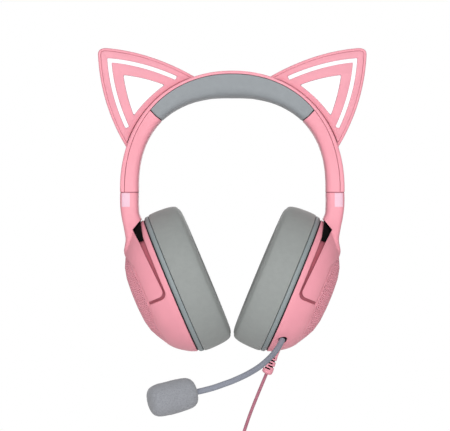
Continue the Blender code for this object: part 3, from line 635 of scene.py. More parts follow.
def make_plug():
    """The ribbed grip, and the metal shell round a tongue with four contacts, in mm from the grip's top."""
    top = Vector((*TAIL_END[:2], PLUG_TOP_Z))

    def slab(name, wide, deep, corner, levels):
        outline = softened(oblong(-wide, wide, deep), corner, 6)
        return loft(name, [[top + Vector((x, y, z)) * MM for x, y in inset(outline, d)] for d, z in levels])

    def block(name, low, high):
        return box(name, top + Vector(low) * MM, top + Vector(high) * MM)

    levels = [(3.0, 3.2), (2.6, 3.0), (2.2, 0), (1.3, -0.1), (0.45, -0.7), (0, -1.6), (0, -6)]
    for k in range(5):
        z = -7.0 - 2.2 * k
        levels += [(0, z), (0.45, z - 0.3), (0.45, z - 0.9), (0, z - 1.2)]
    levels += [(0, -22.9), (0.3, -23.7), (1.0, -24)]
    grip = slab("usb_grip", 7.8, 3.8, 2.4, levels)
    levels = [(0, -22.5), (0, -36.1), (0.1, -36.3), (0.35, -36.3), (0.35, -27.3)]
    metal = slab("usb_metal", 6.0, 2.25, 0.7, levels)
    carve(metal, *(block("window", (x - 1.2, -3, -32.7), (x + 1.2, -1.7, -30.3)) for x in (-2.6, 2.6)))
    tongue = bevelled(block("usb_tongue", (-5.4, 0.1, -35.7), (5.4, 1.8, -27.1)), 0.2 * MM)
    rows = (-3.6, -1.2, 1.2, 3.6)
    contacts = [block("contact", (x - 0.5, -0.1, -34.7), (x + 0.5, 0.25, -28.1)) for x in rows]
    strips = bevelled(combine(contacts[0], contacts[1:], "UNION"), 0.08 * MM)
    strips.name = "usb_contacts"
    settle(shaded(grip, "pink_rubber"), "cup_left", "relief_pink", "usb_plug_body")
    settle(shaded(metal, "steel"), "cup_left", "steel", "usb_plug_shell")
    settle(shaded(tongue, "black"), "cup_left", "black_plastic")
    settle(shaded(strips, "contact"), "cup_left", "steel")
    return [grip, metal, tongue, strips]


# ---------------------------------------------------------------- headband

BAND_CENTRE_Z = -67.9 * MM
OUTER_EDGE = (83.2 * MM, 87.0 * MM, 2.1)
INNER_EDGE = (69.6 * MM, 68.1 * MM, 2.4)
BAND_END_Z = -70.3 * MM
BAND_END_DEG = -2.3
CUSHION_END_DEG = 43.2
HALF_WIDTH = (12.0 * MM, 19.0 * MM)
COVER_THICKNESS = (3.2 * MM, 2.2 * MM)
GROOVE_HALF_WIDTH = 8.6 * MM
GROOVE_DEPTH = 5.9 * MM


def edge_radius(edge, angle):
    half_width, half_height, power = edge
    across, up = abs(cos(angle)) / half_width, abs(sin(angle)) / half_height
    return (across ** power + up ** power) ** (-1 / power)


def over_head(angle, values):
    share = min(1.0, max(0.0, (sin(angle) - 0.15) / 0.75))
    share = share * share * (3 - 2 * share)
    return values[0] + (values[1] - values[0]) * share


def end_lean(angle, depth):
    """How far a point near the cushion's ends moves round, so that the ends are cut a little flatter."""
    near = abs(abs(degrees(angle) - 90) - (90 - CUSHION_END_DEG))
    share = min(1.0, max(0.0, (12 - near) / 10))
    return copysign(radians(0.1) * (depth / MM - 7) * share, pi / 2 - angle)


def band_point(angle, depth, y=0.0):
    angle += end_lean(angle, depth)
    radius = edge_radius(OUTER_EDGE, angle) - depth
    z = BAND_CENTRE_Z + radius * sin(angle)
    return Vector((radius * cos(angle), y, max(z, BAND_END_Z)))


def band_depth(angle):
    return edge_radius(OUTER_EDGE, angle) - edge_radius(INNER_EDGE, angle)


def band_loft(name, sweep, section):
    angles = [radians(degree) for degree in sweep]
    return loft(name, [[band_point(angle, *point) for point in section(angle)] for angle in angles])


def degrees_between(start, end, step):
    count = round(abs(end - start) / step)
    return [start + (end - start) * i / count for i in range(count + 1)]


def cover_section(angle):
    width, thick = over_head(angle, HALF_WIDTH), over_head(angle, COVER_THICKNESS)
    corners = [(thick, -width), (0.0, -width), (0.0, width), (thick, width)]
    return softened(corners, [0.35 * MM, 1.7 * MM, 1.7 * MM, 0.35 * MM], 5)


def lining_section(angle, edge, shrink=0.0):
    width, depth = over_head(angle, HALF_WIDTH) - shrink, band_depth(angle) - shrink
    start = over_head(angle, COVER_THICKNESS) + 0.25 * MM
    half = [(GROOVE_DEPTH, GROOVE_HALF_WIDTH), (start, GROOVE_HALF_WIDTH), (start, width), (depth, width)]
    corners = half + [(d, -y) for d, y in reversed(half)]
    reach = [0.2 * MM, 0.2 * MM, 0.35 * MM, edge]
    return softened(corners, reach + reach[::-1], 7)


def make_headband():
    sweep = [BAND_END_DEG] + degrees_between(-1.2, 181.2, 1.2) + [180 - BAND_END_DEG]
    cover = shaded(band_loft("band_cover", sweep, cover_section), "pink")
    settle(cover, "headband", "pink_plastic", "headband_cover")
    sweep = degrees_between(CUSHION_END_DEG - 0.15, -1.2, 1.2) + [BAND_END_DEG]
    lining = band_loft("arm_lining_left", sweep, lambda angle: lining_section(angle, 5.5 * MM))
    channel = box("channel", (71.7 * MM, -6.3 * MM, -76 * MM), (73.8 * MM, 6.3 * MM, -35.7 * MM))
    shaded(carve(lining, channel), "pink")
    pair(lining, "headband", "pink_plastic", "arm_liner_left")
    # a black sheet in the joint at each end of the cushion: painted shade for the gap there
    end_shade_sheet = band_loft(
        "band_gasket_left", (CUSHION_END_DEG - 0.6, CUSHION_END_DEG, CUSHION_END_DEG + 1.2),
        lambda angle: lining_section(angle, 7.0 * MM, 0.5 * MM),
    )
    pair(shaded(end_shade_sheet, "black_rubber"), "headband", "black_rubber")
    make_band_cushion()


def make_band_cushion():
    """The padded underside of the headband, puffed between its glued edges."""
    first, last = CUSHION_END_DEG + 0.15, 180 - CUSHION_END_DEG - 0.15
    sweep = [first, first + 0.25, first + 0.9] + degrees_between(first + 2, last - 2, 1.5)
    sweep += [last - 0.9, last - 0.25, last]

    def section(angle):
        """Corners rounded like lining_section's, with the long faces divided for the simulation."""
        width, depth = over_head(angle, HALF_WIDTH), band_depth(angle)
        near = min(abs(degrees(angle) - first), abs(degrees(angle) - last))
        tuck = 0.6 * MM * (1 - min(1.0, near / 0.9)) ** 2
        start = over_head(angle, COVER_THICKNESS) + 0.35 * MM
        soft = softened([(start, width), (depth, width), (depth, 0)], [0.1 * MM, 8.0 * MM, 0.1 * MM], 9)[3:-3]
        lines = [(start + (soft[0][0] - start) * s, width) for s in (0.25, 0.5, 0.75)]
        lines += soft + [(soft[-1][0], soft[-1][1] * (1 - s)) for s in (0.2, 0.4, 0.6, 0.8)]
        half = [(GROOVE_DEPTH, GROOVE_HALF_WIDTH), (start, GROOVE_HALF_WIDTH), (start, width)]
        half += [(d - tuck * (d - start) / (depth - start), y - tuck * 0.6 * (y > 0)) for d, y in lines]
        return half + [(depth - tuck, 0.0)] + [(d, -y) for d, y in reversed(half)]

    cushion = band_loft("band_cushion", sweep, section)
    total = len(cushion.data.vertices)
    count = total // len(sweep)
    ends = 3 * count
    held = [i for i in range(total) if (i + 3) % count < 6 or not ends <= i < total - ends]
    inflated(cushion, held, 4.0, 1.0 * MM)
    shaded(subdivided(cushion), "band_grey", sharp=60)
    settle(cushion, "headband", "pad_grey", "headband_cushion")


# ---------------------------------------------------------------- ears

EAR_BASE_DEG = (20.1, 73.0)  # where the free edges, carried on, reach EAR_ROOT in the band
EAR_ROOT = 2.1 * MM
FOOT_TURN = 9.7  # how the foot narrows as it's lifted, in radians per metre


def bowed(start, control, end, count):
    """Points along a quadratic curve, without its last point."""
    return [quadratic(Vector(start), Vector(control), Vector(end), i / count) for i in range(count)]


def ear_outline(lift=0.0):
    """The ear's edge, with its foot a little further out of the band by a lift."""
    low, high = radians(EAR_BASE_DEG[0]) + lift * FOOT_TURN, radians(EAR_BASE_DEG[1]) - lift * FOOT_TURN
    base = [band_point(low + (high - low) * i / 24, EAR_ROOT - lift) for i in range(25)]
    base = [(point.x, point.z) for point in base]
    tip = in_mm(((93.2, 36.6), (100.2, 36.9), (99.8, 31.2)))
    upper = bowed(base[-1], (58.9 * MM, 33.7 * MM), tip[0], 20)
    side = bowed(tip[2], (97.9 * MM, -6.5 * MM), base[0], 20)
    return base + upper[1:] + bowed(*tip, 12) + side


def light_strip_outline(grow=0.0):
    """A V that follows the ear's two free edges, with a rounded bend and ends."""
    half = 1.45 * MM + grow
    start, bend, end = in_mm(((41.7, 14.3), (91.3, 27.5), (78.0, -22.4)))
    path = bowed(start, (67.2 * MM, 25.6 * MM), bend, 16) + bowed(bend, (89.6 * MM, 2.6 * MM), end, 16)
    path = [Vector(point) for point in path + [end]]
    path[0] -= (path[1] - path[0]).normalized() * grow
    path[-1] += (path[-1] - path[-2]).normalized() * grow
    sides = ([], [])
    for before, point, after in zip(path[:1] + path, path, path[1:] + path[-1:]):
        edges = [edge for edge in (point - before, after - point) if edge.length > 0]
        normals = [Vector((-edge.y, edge.x)).normalized() for edge in edges]
        mitre = sum(normals, Vector((0, 0))).normalized()
        reach = mitre * half / max(0.5, mitre.dot(normals[0]))
        sides[0].append(tuple(point + reach))
        sides[1].append(tuple(point - reach))
    return softened(sides[0] + sides[1][::-1], 0.9 * MM, 3)


def light_panel_outline(grow=0.0):
    corners = in_mm(((50.5, 9.1), (80.8, 16.5), (73.1, -13.3)))
    controls = in_mm(((64.4, 14.6), (78.6, 1.0), (64.3, -0.9)))
    outline = []
    for start, control, end in zip(corners, controls, corners[1:] + corners[:1]):
        outline += bowed(start, control, end, 10)
    return softened(inset(outline, -grow), 1.3 * MM, 3)


def make_ears():
    shell = stacked("cat_ear_left", ear_outline(), in_mm((
        (2.4, 6.5), (1.2, 6.3), (0.4, 5.7), (0, 4.5), (0, -5), (0.12, -5.7), (0.5, -6.25), (1, -6.5),
        (1.7, -6.5), (1.92, -6.4), (2, -6.15), (2, 4.1),
    )))
    pair(shaded(shell, "pink"), "headband", "pink_plastic", "ear_shell_left")
    face = stacked("cat_ear_face_left", ear_outline(0.9 * MM), in_mm(((2.2, -4.1), (2.2, -6.4))))
    for windows in (light_strip_outline(0.22 * MM), light_panel_outline(0.22 * MM)):
        carve(face, stacked("window", windows, in_mm(((0, -10.5), (0, -0.5)))))
    face = bevelled(face, 0.3 * MM, 50)
    pair(shaded(face, "pink_face"), "headband", "pink_face", "ear_face_left")
    lit = in_mm(((0, -4.2), (0, -5.9), (0.1, -6.2), (0.4, -6.32)))
    for part, outline in (("strip", light_strip_outline()), ("panel", light_panel_outline())):
        light = stacked(f"ear_glow_{part}_left", outline, lit)
        pair(shaded(light, "glow"), "headband", "light_white", f"ear_light_{part}_left")


# ---------------------------------------------------------------- cups and yokes

CUP_CENTRE = Vector((45.5, 0.0, -139.7)) * MM
CUP_LEAN = radians(22.67)
CUP_UP = Vector((sin(CUP_LEAN), 0, cos(CUP_LEAN)))
CUP_OUT = Vector((cos(CUP_LEAN), 0, -sin(CUP_LEAN)))
CUP_PLACE = Matrix((
    (CUP_UP.x, 0, CUP_OUT.x, CUP_CENTRE.x),
    (0, -1, 0, CUP_CENTRE.y),
    (CUP_UP.z, 0, CUP_OUT.z, CUP_CENTRE.z),
    (0, 0, 0, 1),
))
OVAL = 0.836
GRILLE_OVAL = 0.741
CUP_PROFILE = (
    (0.6, 52.7), (4.9, 51.2), (9, 48.7), (13.5, 45.6), (17.4, 41.9), (19.5, 38.7),
    (21.2, 36.2), (23.5, 32.3), (25, 29.4),
)
FORK_PROUD = 3.4
FORK_THICKNESS = 3.0
RECESS_DEPTH = 4.2
CUP_WALL = 6.4
GRILLE_DOME = ((0, 29.4), (9.0, 29.2), (17.9, 28.5), (25.5, 26.7), (31.8, 23.6), (36.5, 20.8), (38.0, 19.8))


def cup_point(u, t, y=0.0):
    return CUP_CENTRE + CUP_UP * u + CUP_OUT * t + Vector((0, y, 0))


def cup_outline(points):
    return [(place.x, place.z) for place in (cup_point(u * MM, t * MM) for u, t in points)]


def half_length(t):
    for (t0, r0), (t1, r1) in zip(CUP_PROFILE, CUP_PROFILE[1:]):
        if t <= t1 or t1 == CUP_PROFILE[-1][0]:
            return r0 + (r1 - r0) * (t - t0) / (t1 - t0)


def smooth_half_length(t):
    """half_length averaged over a short stretch, so that the profile has no corners."""
    return sum(half_length(t + 0.8 * k) for k in range(-2, 3)) / 5


def oval_body(name, low, high, along, across, step=1.2, steps=128):
    """The cup's form between two depths, grown along its length and across it, all in millimetres."""
    count = max(1, round((high - low) / step))
    rings = []
    for k in range(count + 1):
        t = low + (high - low) * k / count
        half = smooth_half_length(t)
        length, width = half + along, half * OVAL + across
        rings.append([CUP_PLACE @ (Vector((x * length, y * width, t)) * MM) for x, y in around(steps)])
    return loft(name, rings)


def corner_arc(u, t, radius):
    angles = [radians(15 * i) for i in range(7)]
    return [(u - radius * sin(a), t - radius * cos(a)) for a in angles]


YOKE_OUTLINE = in_mm(((60.0, -84.0), (67.9, -91.0))) + cup_outline(  # its edge towards the cup, crisp
    [(49.1, 10.2), (39.1, 8.9), (5.8, 6.7)] + corner_arc(-0.4, 10.4, 4.0)
    + [(-4.4, 19.2), (23.0, 19.2), (32.8, 22.9), (36.0, 34.0)]
) + in_mm(((95.0, -100.0), (95.0, -60.0), (60.0, -60.0)))
FORK_REACH = cup_outline((
    (54, 6), (5.8, 3.5), (-8, 3.5), (-8, 19.2), (23, 19.2), (32.8, 22.9), (45, 22.9),
    (54, 18),
))
RECESS_OUTLINE = [(62.0, 1.4), (53.0, 2.7), (41.0, 4.9)] + corner_arc(-2.1, 9.4, 4.5)
RECESS_OUTLINE += [(-6.6, 24.0), (62.0, 24.0)]
STOP_OUTLINE = cup_outline(((38.3, 5.2), (38.9, 8.8), (48.8, 10.0), (53.2, 3.0), (52.6, 2.6), (41.2, 5.1)))
ARM_LEVELS = (  # z, inner x, outer x, half width along Y
    (-70.6, 69.6, 83.2, 12), (-76, 69.75, 83.3, 12), (-82, 69.6, 83.1, 12),
    (-86.4, 69.2, 82.5, 12.2), (-91.2, 67.2, 81.7, 13), (-95, 66.8, 80.8, 14),
    (-99.5, 67.5, 79.9, 15.5), (-104.6, 69, 79, 17), (-109, 70, 79.3, 17.5),
    (-113.5, 70.5, 80.2, 15.5), (-117, 72.5, 79.9, 11), (-118.4, 74, 78.8, 6),
)


def arm_loft():
    heights, widths = [-level[0] for level in ARM_LEVELS], [level[3] for level in ARM_LEVELS]
    rings = []
    for z, inner, outer in smooth_through([level[:3] for level in ARM_LEVELS], 6):
        width = float(np.interp(-z, heights, widths))
        ring = softened(oblong(inner, outer, width), [4.5, 4.0, 4.0, 4.5], 5)
        rings.append([(x * MM, y * MM, z * MM) for x, y in ring])
    return loft("yoke_arm_left", rings)


def make_yokes():
    fork = kept_inside(oval_body("fork", 2.0, 24.0, FORK_PROUD, 0.0), FORK_REACH)
    yoke = moulded(combine(arm_loft(), [fork], "UNION"), 0.55 * MM, 6)
    carve(yoke, oval_body("inside", 0.6, 25.5, 0.4, -FORK_THICKNESS))
    kept_inside(yoke, YOKE_OUTLINE)
    level = box("level", (60 * MM, -30 * MM, -70.6 * MM), (95 * MM, 30 * MM, -60 * MM))
    slot = box("slot", (71.7 * MM, -6.3 * MM, -84.4 * MM), (73.8 * MM, 6.3 * MM, -60 * MM))
    carve(yoke, level, slot)
    pair(shaded(yoke, "pink_patch"), "yoke_left", "pink_plastic", "yoke_left")
    # a thin dark pink sheet fills the gap between each arm and the band's end: painted shade for that gap
    outline = softened(oblong(69.9, 82.9, 11.6), 3.0, 5)
    shade_sheet = loft("arm_gasket_left", [[(x * MM, y * MM, z * MM) for x, y in outline] for z in (-70.8, -70.35)])
    pair(shaded(shade_sheet, "pink_seam"), "yoke_left", "pink_plastic")
    stop = kept_inside(oval_body("stop_block_left", 2.0, 12.5, 2.2, -0.3), STOP_OUTLINE)
    carve(stop, oval_body("inside", 1.0, 14.5, 0.3, -3.9))
    pair(shaded(moulded(stop, 0.4 * MM, 3), "black_rubber"), "yoke_left", "black_rubber", "tilt_stop_left")


def in_outline(outline, u, t):
    inside = False
    for (a, b), (c, d) in zip(outline, outline[1:] + outline[:1]):
        if (b > t) != (d > t) and u < (c - a) * (t - b) / (d - b) + a:
            inside = not inside
    return inside


def paint_recess_shade(shell):
    """Gives the faces on the recess's floor and walls the second material, a darker pink that is painted
    shade.
    """
    to_cup = CUP_PLACE.inverted()
    for face in shell.data.polygons:
        u, y, t = to_cup @ face.center / MM
        size = smooth_half_length(t)
        if size - hypot(u, y / OVAL) > 0.9 and t < 19.0 and in_outline(RECESS_OUTLINE, u, t + 0.2):
            face.material_index = 1


def make_cup(name):
    shell = oval_body(name, 0.45, 19.5, 0.25, 0.1)
    recess = through(cup_outline(RECESS_OUTLINE))
    carve(recess, oval_body("floor", -2.0, 26.0, 0.1, -RECESS_DEPTH))
    moulded(carve(shell, recess), 0.55 * MM, 4)
    carve(shell, oval_body("cavity", -1.0, 17.0, -CUP_WALL, -CUP_WALL, steps=64))
    # the recess faces get the darker pink, painted shade
    paint_recess_shade(shaded(shell, "pink", "pink_recess"))
    return shell


WHEEL_AT = (-19.9 * MM, 7.2 * MM, 31.2 * MM)
DIAL_TEETH = 36
MIC_EXIT = Vector((36.85, -25.6, -178.8)) * MM
MIC_EXIT_AXIS = Vector((-0.270, -0.710, -0.646)).normalized()
BUTTON_AXIS = (-CUP_UP * 0.72 + Vector((0, 0.69, 0))).normalized()
BUTTON_FACE = cup_point(-38.0 * MM, 9.0 * MM, 25.5 * MM) + BUTTON_AXIS * 1.0 * MM
RELIEF_T = 6.9 * MM


def make_cups():
    shell = make_cup("cup_left")
    settle(mirrored(shell, "cup_right"), "cup_right", "pink_plastic", "cup_shell_right")
    wheel = cup_point(WHEEL_AT[0], 6.8 * MM, WHEEL_AT[2])
    carve(
        shell,
        drill(wheel, CUP_OUT, 7.5 * MM, 4.4 * MM),
        drill(BUTTON_FACE + BUTTON_AXIS * 3 * MM, -BUTTON_AXIS, 3.75 * MM, 16 * MM),
        drill(MIC_EXIT + MIC_EXIT_AXIS * 5 * MM, -MIC_EXIT_AXIS, 3.1 * MM, 18 * MM),
        drill(cup_point(-36 * MM, RELIEF_T), -CUP_UP, 3.5 * MM, 24 * MM),
    )
    settle(shell, "cup_left", "pink_plastic", "cup_shell_left")
    make_grilles()
    make_pads()


GRILLE_PITCH = 1.8
HOLE_RADIUS = 0.6
HOLES_START = 9.5
HOLES_END = 36.3
GRILLE_END = 37.4


def dome(radius):
    return float(np.interp(radius, [r for r, _ in GRILLE_DOME], [t for _, t in GRILLE_DOME]))


def make_grilles():
    """A plate with a hexagonal field of real holes, a plain middle and a solid rim, over dark cloth."""
    size = GRILLE_PITCH / sqrt(3)
    bm = bmesh.new()
    corners = {}

    def vert(u, y):
        key = (round(u, 3), round(y, 3))
        if key not in corners:
            t = dome(hypot(u, y / GRILLE_OVAL))
            corners[key] = bm.verts.new(CUP_PLACE @ (Vector((u, y, t)) * MM))
        return corners[key]

    for row in range(-26, 27):
        for column in range(-17, 18):
            u, y = row * 1.5 * size, (column + 0.5 * (row % 2)) * GRILLE_PITCH
            radius = hypot(u, y / GRILLE_OVAL)
            if radius > GRILLE_END:
                continue
            hexagon = [(u + a, y + b) for a, b in around(6, size)]
            outer = []
            for (a, b), (c, d) in zip(hexagon, hexagon[1:] + hexagon[:1]):
                outer += [vert(a, b), vert((a + c) / 2, (b + d) / 2)]
            if radius > HOLES_END or hypot(u, y) < HOLES_START:
                bm.faces.new(outer)
                continue
            inner = [vert(u + a, y + b) for a, b in around(12, HOLE_RADIUS)]
            for k in range(12):
                j = (k + 1) % 12
                bm.faces.new((outer[k], outer[j], inner[j], inner[k]))
    bmesh.ops.recalc_face_normals(bm, faces=bm.faces)
    if sum((face.normal for face in bm.faces), Vector()).dot(CUP_OUT) < 0:
        bmesh.ops.reverse_faces(bm, faces=bm.faces)
    plate = modified(to_object("cup_grille_left", bm), "SOLIDIFY", thickness=0.9 * MM, offset=-1.0)
    pair(shaded(plate, "pink_grille", sharp=50), "cup_left", "grille_pink", "grille_left")
    backing = [(r, dome(r) - 1.1) for r in (0, 5, 10, 15, 20, 25, 30, 34, 36)]
    backing += [(36, dome(36) - 1.6), (0, 24)]
    cloth = revolve("grille_cloth_left", in_mm(backing), CUP_PLACE, GRILLE_OVAL, steps=96)
    pair(shaded(cloth, "grille_back"), "cup_left", "cloth_black")
    rim = softened([
        (36.7, dome(36.7) - 1.3), (36.7, dome(36.7) + 0.15), (37.4, dome(37.4) + 0.2), (38.2, 19.7),
        (37.8, 18.7),
    ], 0.3, 3)
    frame_ring = revolve("grille_rim_left", in_mm(rim), CUP_PLACE, GRILLE_OVAL, closed=True)
    pair(shaded(frame_ring, "pink"), "cup_left", "pink_plastic")


PAD_PROFILE = (
    (52.6, -4.2), (54.1, -4.35), (54.7, -5.6), (54.95, -9.5), (54.8, -15), (54.3, -20.5), (53, -25),
    (50.7, -27), (47.4, -28.1), (43, -28.3), (38.8, -27.8), (35.3, -25.9), (33, -22), (32.4, -14),
    (32.2, -4.3),
)
PAD_STEPS = 120
GLUED_T = -5.4  # the pad is held still above this
SEAM_T = -26.8  # the first row past this is the sewn seam


def make_pads():
    ring = softened([(36.5, -0.5), (52.9, -0.5), (54.0, -1.6), (54.2, -3.9), (36.5, -3.9)], 0.35, 3)
    trim = revolve("pad_trim_left", in_mm(ring), CUP_PLACE, OVAL, closed=True)
    pair(shaded(trim, "trim_grey"), "cup_left", "ring_grey", "pad_ring_left")
    lip = [(0, 2.6), (43.0, 2.6), (43.4, 0.35), (52.2, 0.35), (52.3, 0.0), (52.2, -0.35), (0, -0.35)]
    plate = revolve("seat_plate_left", in_mm(lip), CUP_PLACE, OVAL)
    carve(plate, drill(cup_point(0, -5 * MM), CUP_OUT, 20.3 * MM, 12 * MM, 64))
    pair(shaded(plate, "black"), "cup_left", "black_plastic", "baffle_left")
    profile = [p[:2] for p in smooth_through([(r, t, 0) for r, t in PAD_PROFILE], 4)]
    profile += [(32.2 + 20.4 * s, -4.3) for s in (0.2, 0.4, 0.6, 0.8)]
    pad = revolve("ear_pad_left", in_mm(profile), CUP_PLACE, OVAL, closed=True, steps=PAD_STEPS)
    seam = next(i for i, (_, t) in enumerate(profile) if t < SEAM_T)
    held = []
    for row, (_, t) in enumerate(profile):
        if t > GLUED_T or row == seam:
            held += range(row * PAD_STEPS, (row + 1) * PAD_STEPS)
    inflated(pad, held, 5.0, 0.8 * MM)
    tuck_seam(pad, seam)
    shaded(subdivided(pad), "pad_grey", sharp=70)
    for piece in pair(pad, "cup_left", "pad_grey", "ear_cushion_left"):
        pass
    make_speaker_cloths()


def tuck_seam(pad, row):
    """Draws a row of the pad in, with the slight puckers of a sewn seam."""
    normals = [vert.normal.copy() for vert in pad.data.vertices]
    for i in range(PAD_STEPS):
        a = 2 * pi * i / PAD_STEPS
        depth = 0.45 + 0.12 * sin(23 * a) + 0.08 * sin(41 * a + 1.0)
        vert = pad.data.vertices[row * PAD_STEPS + i]
        vert.co -= normals[vert.index] * depth * MM


def make_speaker_cloths():
    """Cloth stretched over the opening in front of the driver, slightly dished."""
    front = [(1.8 * k, -1.35 + 0.5 * (1 - (k / 20) ** 2) ** 2) for k in range(21)]
    backside = [(r, t + 0.3) for r, t in reversed(front)]
    cloth = revolve("driver_cloth_left", in_mm(front + backside), CUP_PLACE, OVAL, steps=96)
    shaded(cloth, "speaker_cloth")
    for piece in pair(cloth, "cup_left", "cloth_black", "speaker_cloth_left"):
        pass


# ---------------------------------------------------------------- microphone, controls, strain relief

BOOM_RADIUS = 2.15 * MM
BOOM_STEP = 0.75 * MM
BOOM_ROUTE = in_mm((
    (38.7, -20.6, -174.3), (36.85, -25.6, -178.8), (33.8, -32, -184.1), (29.8, -39, -188.9),
    (24.7, -46.5, -193.5), (18.4, -54, -198), (10, -62, -202.4), (0.7, -69.3, -206.2),
    (-5.4, -73.5, -208.2), (-14.4, -79.2, -210.9), (-24.3, -84.6, -213), (-28.4, -86.3, -213.2),
))
FOAM_CENTRE = Vector((-42.8, -91.0, -216.55)) * MM
FOAM_AXIS = Vector((19.0, 6.3, 4.4)).normalized()
FOAM_LENGTH = 35.0 * MM
BEND_POINTS = (Vector((24.01, -47.40, -194.04)) * MM, Vector((-1.23, -70.71, -206.28)) * MM)


def sleeve(name, points, radius):
    """A round tube through points, its sections carried along without twist."""
    rings = []
    side = Vector((0, 0, 1))
    for before, point, after in zip(points[:1] + points, points, points[1:] + points[-1:]):
        along = (after - before).normalized()
        side = (side - along * side.dot(along)).normalized()
        other = along.cross(side)
        rings.append([point + side * x + other * y for x, y in around(28, radius)])
    return loft(name, rings)


def make_boom():
    path = spaced(smooth_through(BOOM_ROUTE, 24), BOOM_STEP)
    bends = [min(range(len(path)), key=lambda i: (path[i] - place).length) for place in BEND_POINTS]
    meet = sum(bends) // 2
    halves = (
        ("boom_upper", path[:meet + 1], bends[0], ("boom_base", "boom_middle"), ["boom_base", "boom_middle"]),
        ("boom_lower", path[meet:], bends[1], ("boom_middle", "mic_head"), ["boom_tip"]),
    )
    for name, points, bend, bodies, nodes in halves:
        piece = shaded(sleeve(name, points, BOOM_RADIUS), "boom_grey")
        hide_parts(*nodes)
        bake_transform(piece)
    ring = softened([(2.2, 0.6), (2.8, 0.6), (3.0, 0.0), (3.0, -5.0), (2.2, -5.0)], 0.3, 3)
    grommet = revolve("boom_collar", in_mm(ring), frame_along(MIC_EXIT, MIC_EXIT_AXIS), closed=True, steps=48)
    settle(shaded(grommet, "black_rubber"), "cup_left", "black_rubber", "boom_grommet")


def make_foam():
    place = frame_along(FOAM_CENTRE - FOAM_AXIS * FOAM_LENGTH / 2, FOAM_AXIS)
    knots = [
        (0, 0), (6.4, 0.6), (9.9, 2.8), (11.4, 7), (11.75, 12.2), (11.75, 19), (11.5, 25.5),
        (10.8, 30.2), (9.2, 33.1), (6.4, 34.7), (2.5, 35),
    ]
    outer = [(max(0.0, p.x), p.y) for p in smooth_through([(r, h, 0) for r, h in knots], 9)]
    outer += [(2.2, 34.6), (2.2, 31.0), (5.0, 31.0), (5.0, 13.0), (0.0, 13.0)]
    cover = revolve("mic_cover", in_mm(outer), place, steps=150)
    for vert in cover.data.vertices:
        away = vert.co - FOAM_CENTRE
        along = away.dot(FOAM_AXIS)
        if (away - FOAM_AXIS * along).length < 5.2 * MM and abs(along) < 17 * MM:
            continue
        rough = noise.noise(vert.co / (1.1 * MM)) * 0.16 + noise.noise(vert.co / (6 * MM)) * 0.2
        vert.co += away.normalized() * rough * MM
    settle(shaded(cover, "foam", sharp=80), "mic_head", "foam_grey", "mic_foam")


def make_controls():
    place = frame_along(cup_point(*WHEEL_AT), CUP_OUT)
    rings = []
    for height, shrink in ((0, 0.5), (0.4, 0.0), (3.2, 0.0), (3.6, 0.5)):
        ring = []
        for i, (x, y) in enumerate(around(4 * DIAL_TEETH)):
            radius = 6.95 - (0.0, 0.32, 0.32, 0.0)[i % 4] - shrink
            ring.append(place @ (Vector((radius * x, radius * y, height)) * MM))
        rings.append(ring)
    dial = shaded(loft("volume_dial", rings), "key_grey", sharp=25)
    settle(dial, "volume_wheel", "button_grey", "volume_wheel")
    cap = [(0, -5.9), (3.4, -5.9), (3.45, -0.6), (3.2, -0.15), (2.7, 0.0), (2.0, -0.12), (0, -0.25)]
    key = revolve("mute_key", in_mm(cap), frame_along(BUTTON_FACE, BUTTON_AXIS), steps=64)
    settle(shaded(key, "key_grey"), "mute_button", "button_grey", "mute_button")


def make_relief():
    """A tapered sleeve with slots from alternate sides, as on a relief that bends with the lead; the piece
    itself stays rigid.
    """
    start = cup_point(-44 * MM, RELIEF_T)
    place = Matrix((
        (CUP_OUT.x, 0, -CUP_UP.x, start.x),
        (0, -1, 0, start.y),
        (CUP_OUT.z, 0, -CUP_UP.z, start.z),
        (0, 0, 0, 1),
    ))
    outline = [
        (0, 0), (2.9, 0), (2.9, 8.5), (3, 10), (3.3, 13), (3.6, 16.5), (3.9, 19.8), (4.05, 21.8),
        (3.8, 23.6), (2.8, 24.5), (1.5, 24.7), (0, 24.7),
    ]
    relief = revolve("cable_relief", in_mm(outline), place, steps=64)
    for k in range(5):
        side = 1 if k % 2 else -1
        depth = 11.0 + 2.2 * k
        low, high = sorted((-1.4 * side, 6.0 * side))
        slot = box("slot", (low * MM, -6 * MM, depth * MM), (high * MM, 6 * MM, (depth + 1.15) * MM))
        slot.data.transform(place)
        carve(relief, slot)
    relief = bevelled(relief, 0.12 * MM, 45)
    shaded(relief, "pink_rubber")
    settle(relief, "cup_left", "relief_pink", "strain_relief")
    # a black core inside the sleeve, so that the slots look dark: painted shade
    inside = in_mm([(0, 1), (2.0, 1), (2.1, 10.0), (2.9, 19.8), (3.0, 22.4), (0, 22.4)])
    slot_shade_core = revolve("relief_core", inside, place, steps=32)
    settle(shaded(slot_shade_core, "black_rubber"), "cup_left", "black_rubber")


# ---------------------------------------------------------------- finishes of the CAD nodes still shown

CAD_FINISHES = {
    "steel": ["headband_spring", "slider_strip", "pivot_pin_front", "pivot_pin_rear"],
    "black_rubber": ["headband_harness"],
    "black": ["slider_guide", "mic_capsule"],
    "cone": ["driver"],
    "board": ["ear_light_board", "sound_board"],
}


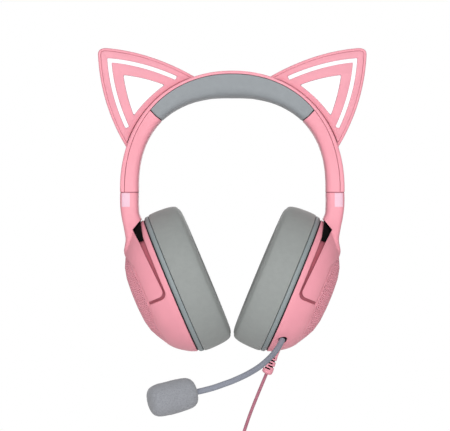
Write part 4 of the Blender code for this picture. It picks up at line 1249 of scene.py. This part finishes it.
def finish_cad_nodes():
    for key, names in CAD_FINISHES.items():
        for name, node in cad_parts.items():
            if name.replace("_left", "").replace("_right", "") in names:
                node.data.materials.clear()
                node.data.materials.append(MATERIALS[key].material)


# ---------------------------------------------------------------- floor and light

FLOOR_RADIUS = 1.7
FLOOR_Z = -0.4
LIT_POINT = Vector((0, 0, -0.1))
LAMPS = (  # name, place, size, power
    ("front", (0.0, -2.0, 0.15), 1.2, 21.8),
    ("key", (-0.9, -1.6, 0.9), 0.9, 6.4),
    ("fill", (1.0, -1.5, -0.1), 0.9, 3.1),
    ("top", (0.0, 0.2, 1.4), 1.0, 2.3),
    ("rear", (0.2, 1.9, 0.5), 1.4, 12.0),
)


def make_stage():
    made = Finish("floor", (0.94, 0.94, 0.94, 1), 0.8)
    edge = around(96, FLOOR_RADIUS)
    floor = loft("floor", [[(x, y, z) for x, y in edge] for z in (FLOOR_Z - 0.005, FLOOR_Z)])
    floor.data.materials.append(made.mottle(3, 0.01).material)
    SCENE.world = bpy.data.worlds.new("studio")
    SCENE.world.use_nodes = True
    tree = SCENE.world.node_tree
    mix = tree.nodes.new("ShaderNodeMixShader")
    seen = tree.nodes.new("ShaderNodeLightPath").outputs["Is Camera Ray"]
    tree.links.new(seen, mix.inputs["Fac"])
    # the light that the world gives, and what the camera sees of it
    for socket, node, strength in (
        (1, tree.nodes["Background"], 0.28), (2, tree.nodes.new("ShaderNodeBackground"), 1.0),
    ):
        node.inputs["Color"].default_value = (1, 1, 1, 1)
        node.inputs["Strength"].default_value = strength
        tree.links.new(node.outputs[0], mix.inputs[socket])
    tree.links.new(mix.outputs[0], tree.nodes["World Output"].inputs["Surface"])
    for name, place, size, power in LAMPS:
        lamp = bpy.data.lights.new(name, "AREA")
        lamp.size = size
        lamp.energy = power
        obj = link(name, lamp)
        obj.location = place
        obj.rotation_mode = "QUATERNION"
        obj.rotation_quaternion = (LIT_POINT - Vector(place)).to_track_quat("-Z", "Y")


make_camera()
make_lead()
make_headband()
make_ears()
make_yokes()
make_cups()
make_boom()
make_foam()
make_controls()
make_relief()
finish_cad_nodes()
make_stage()
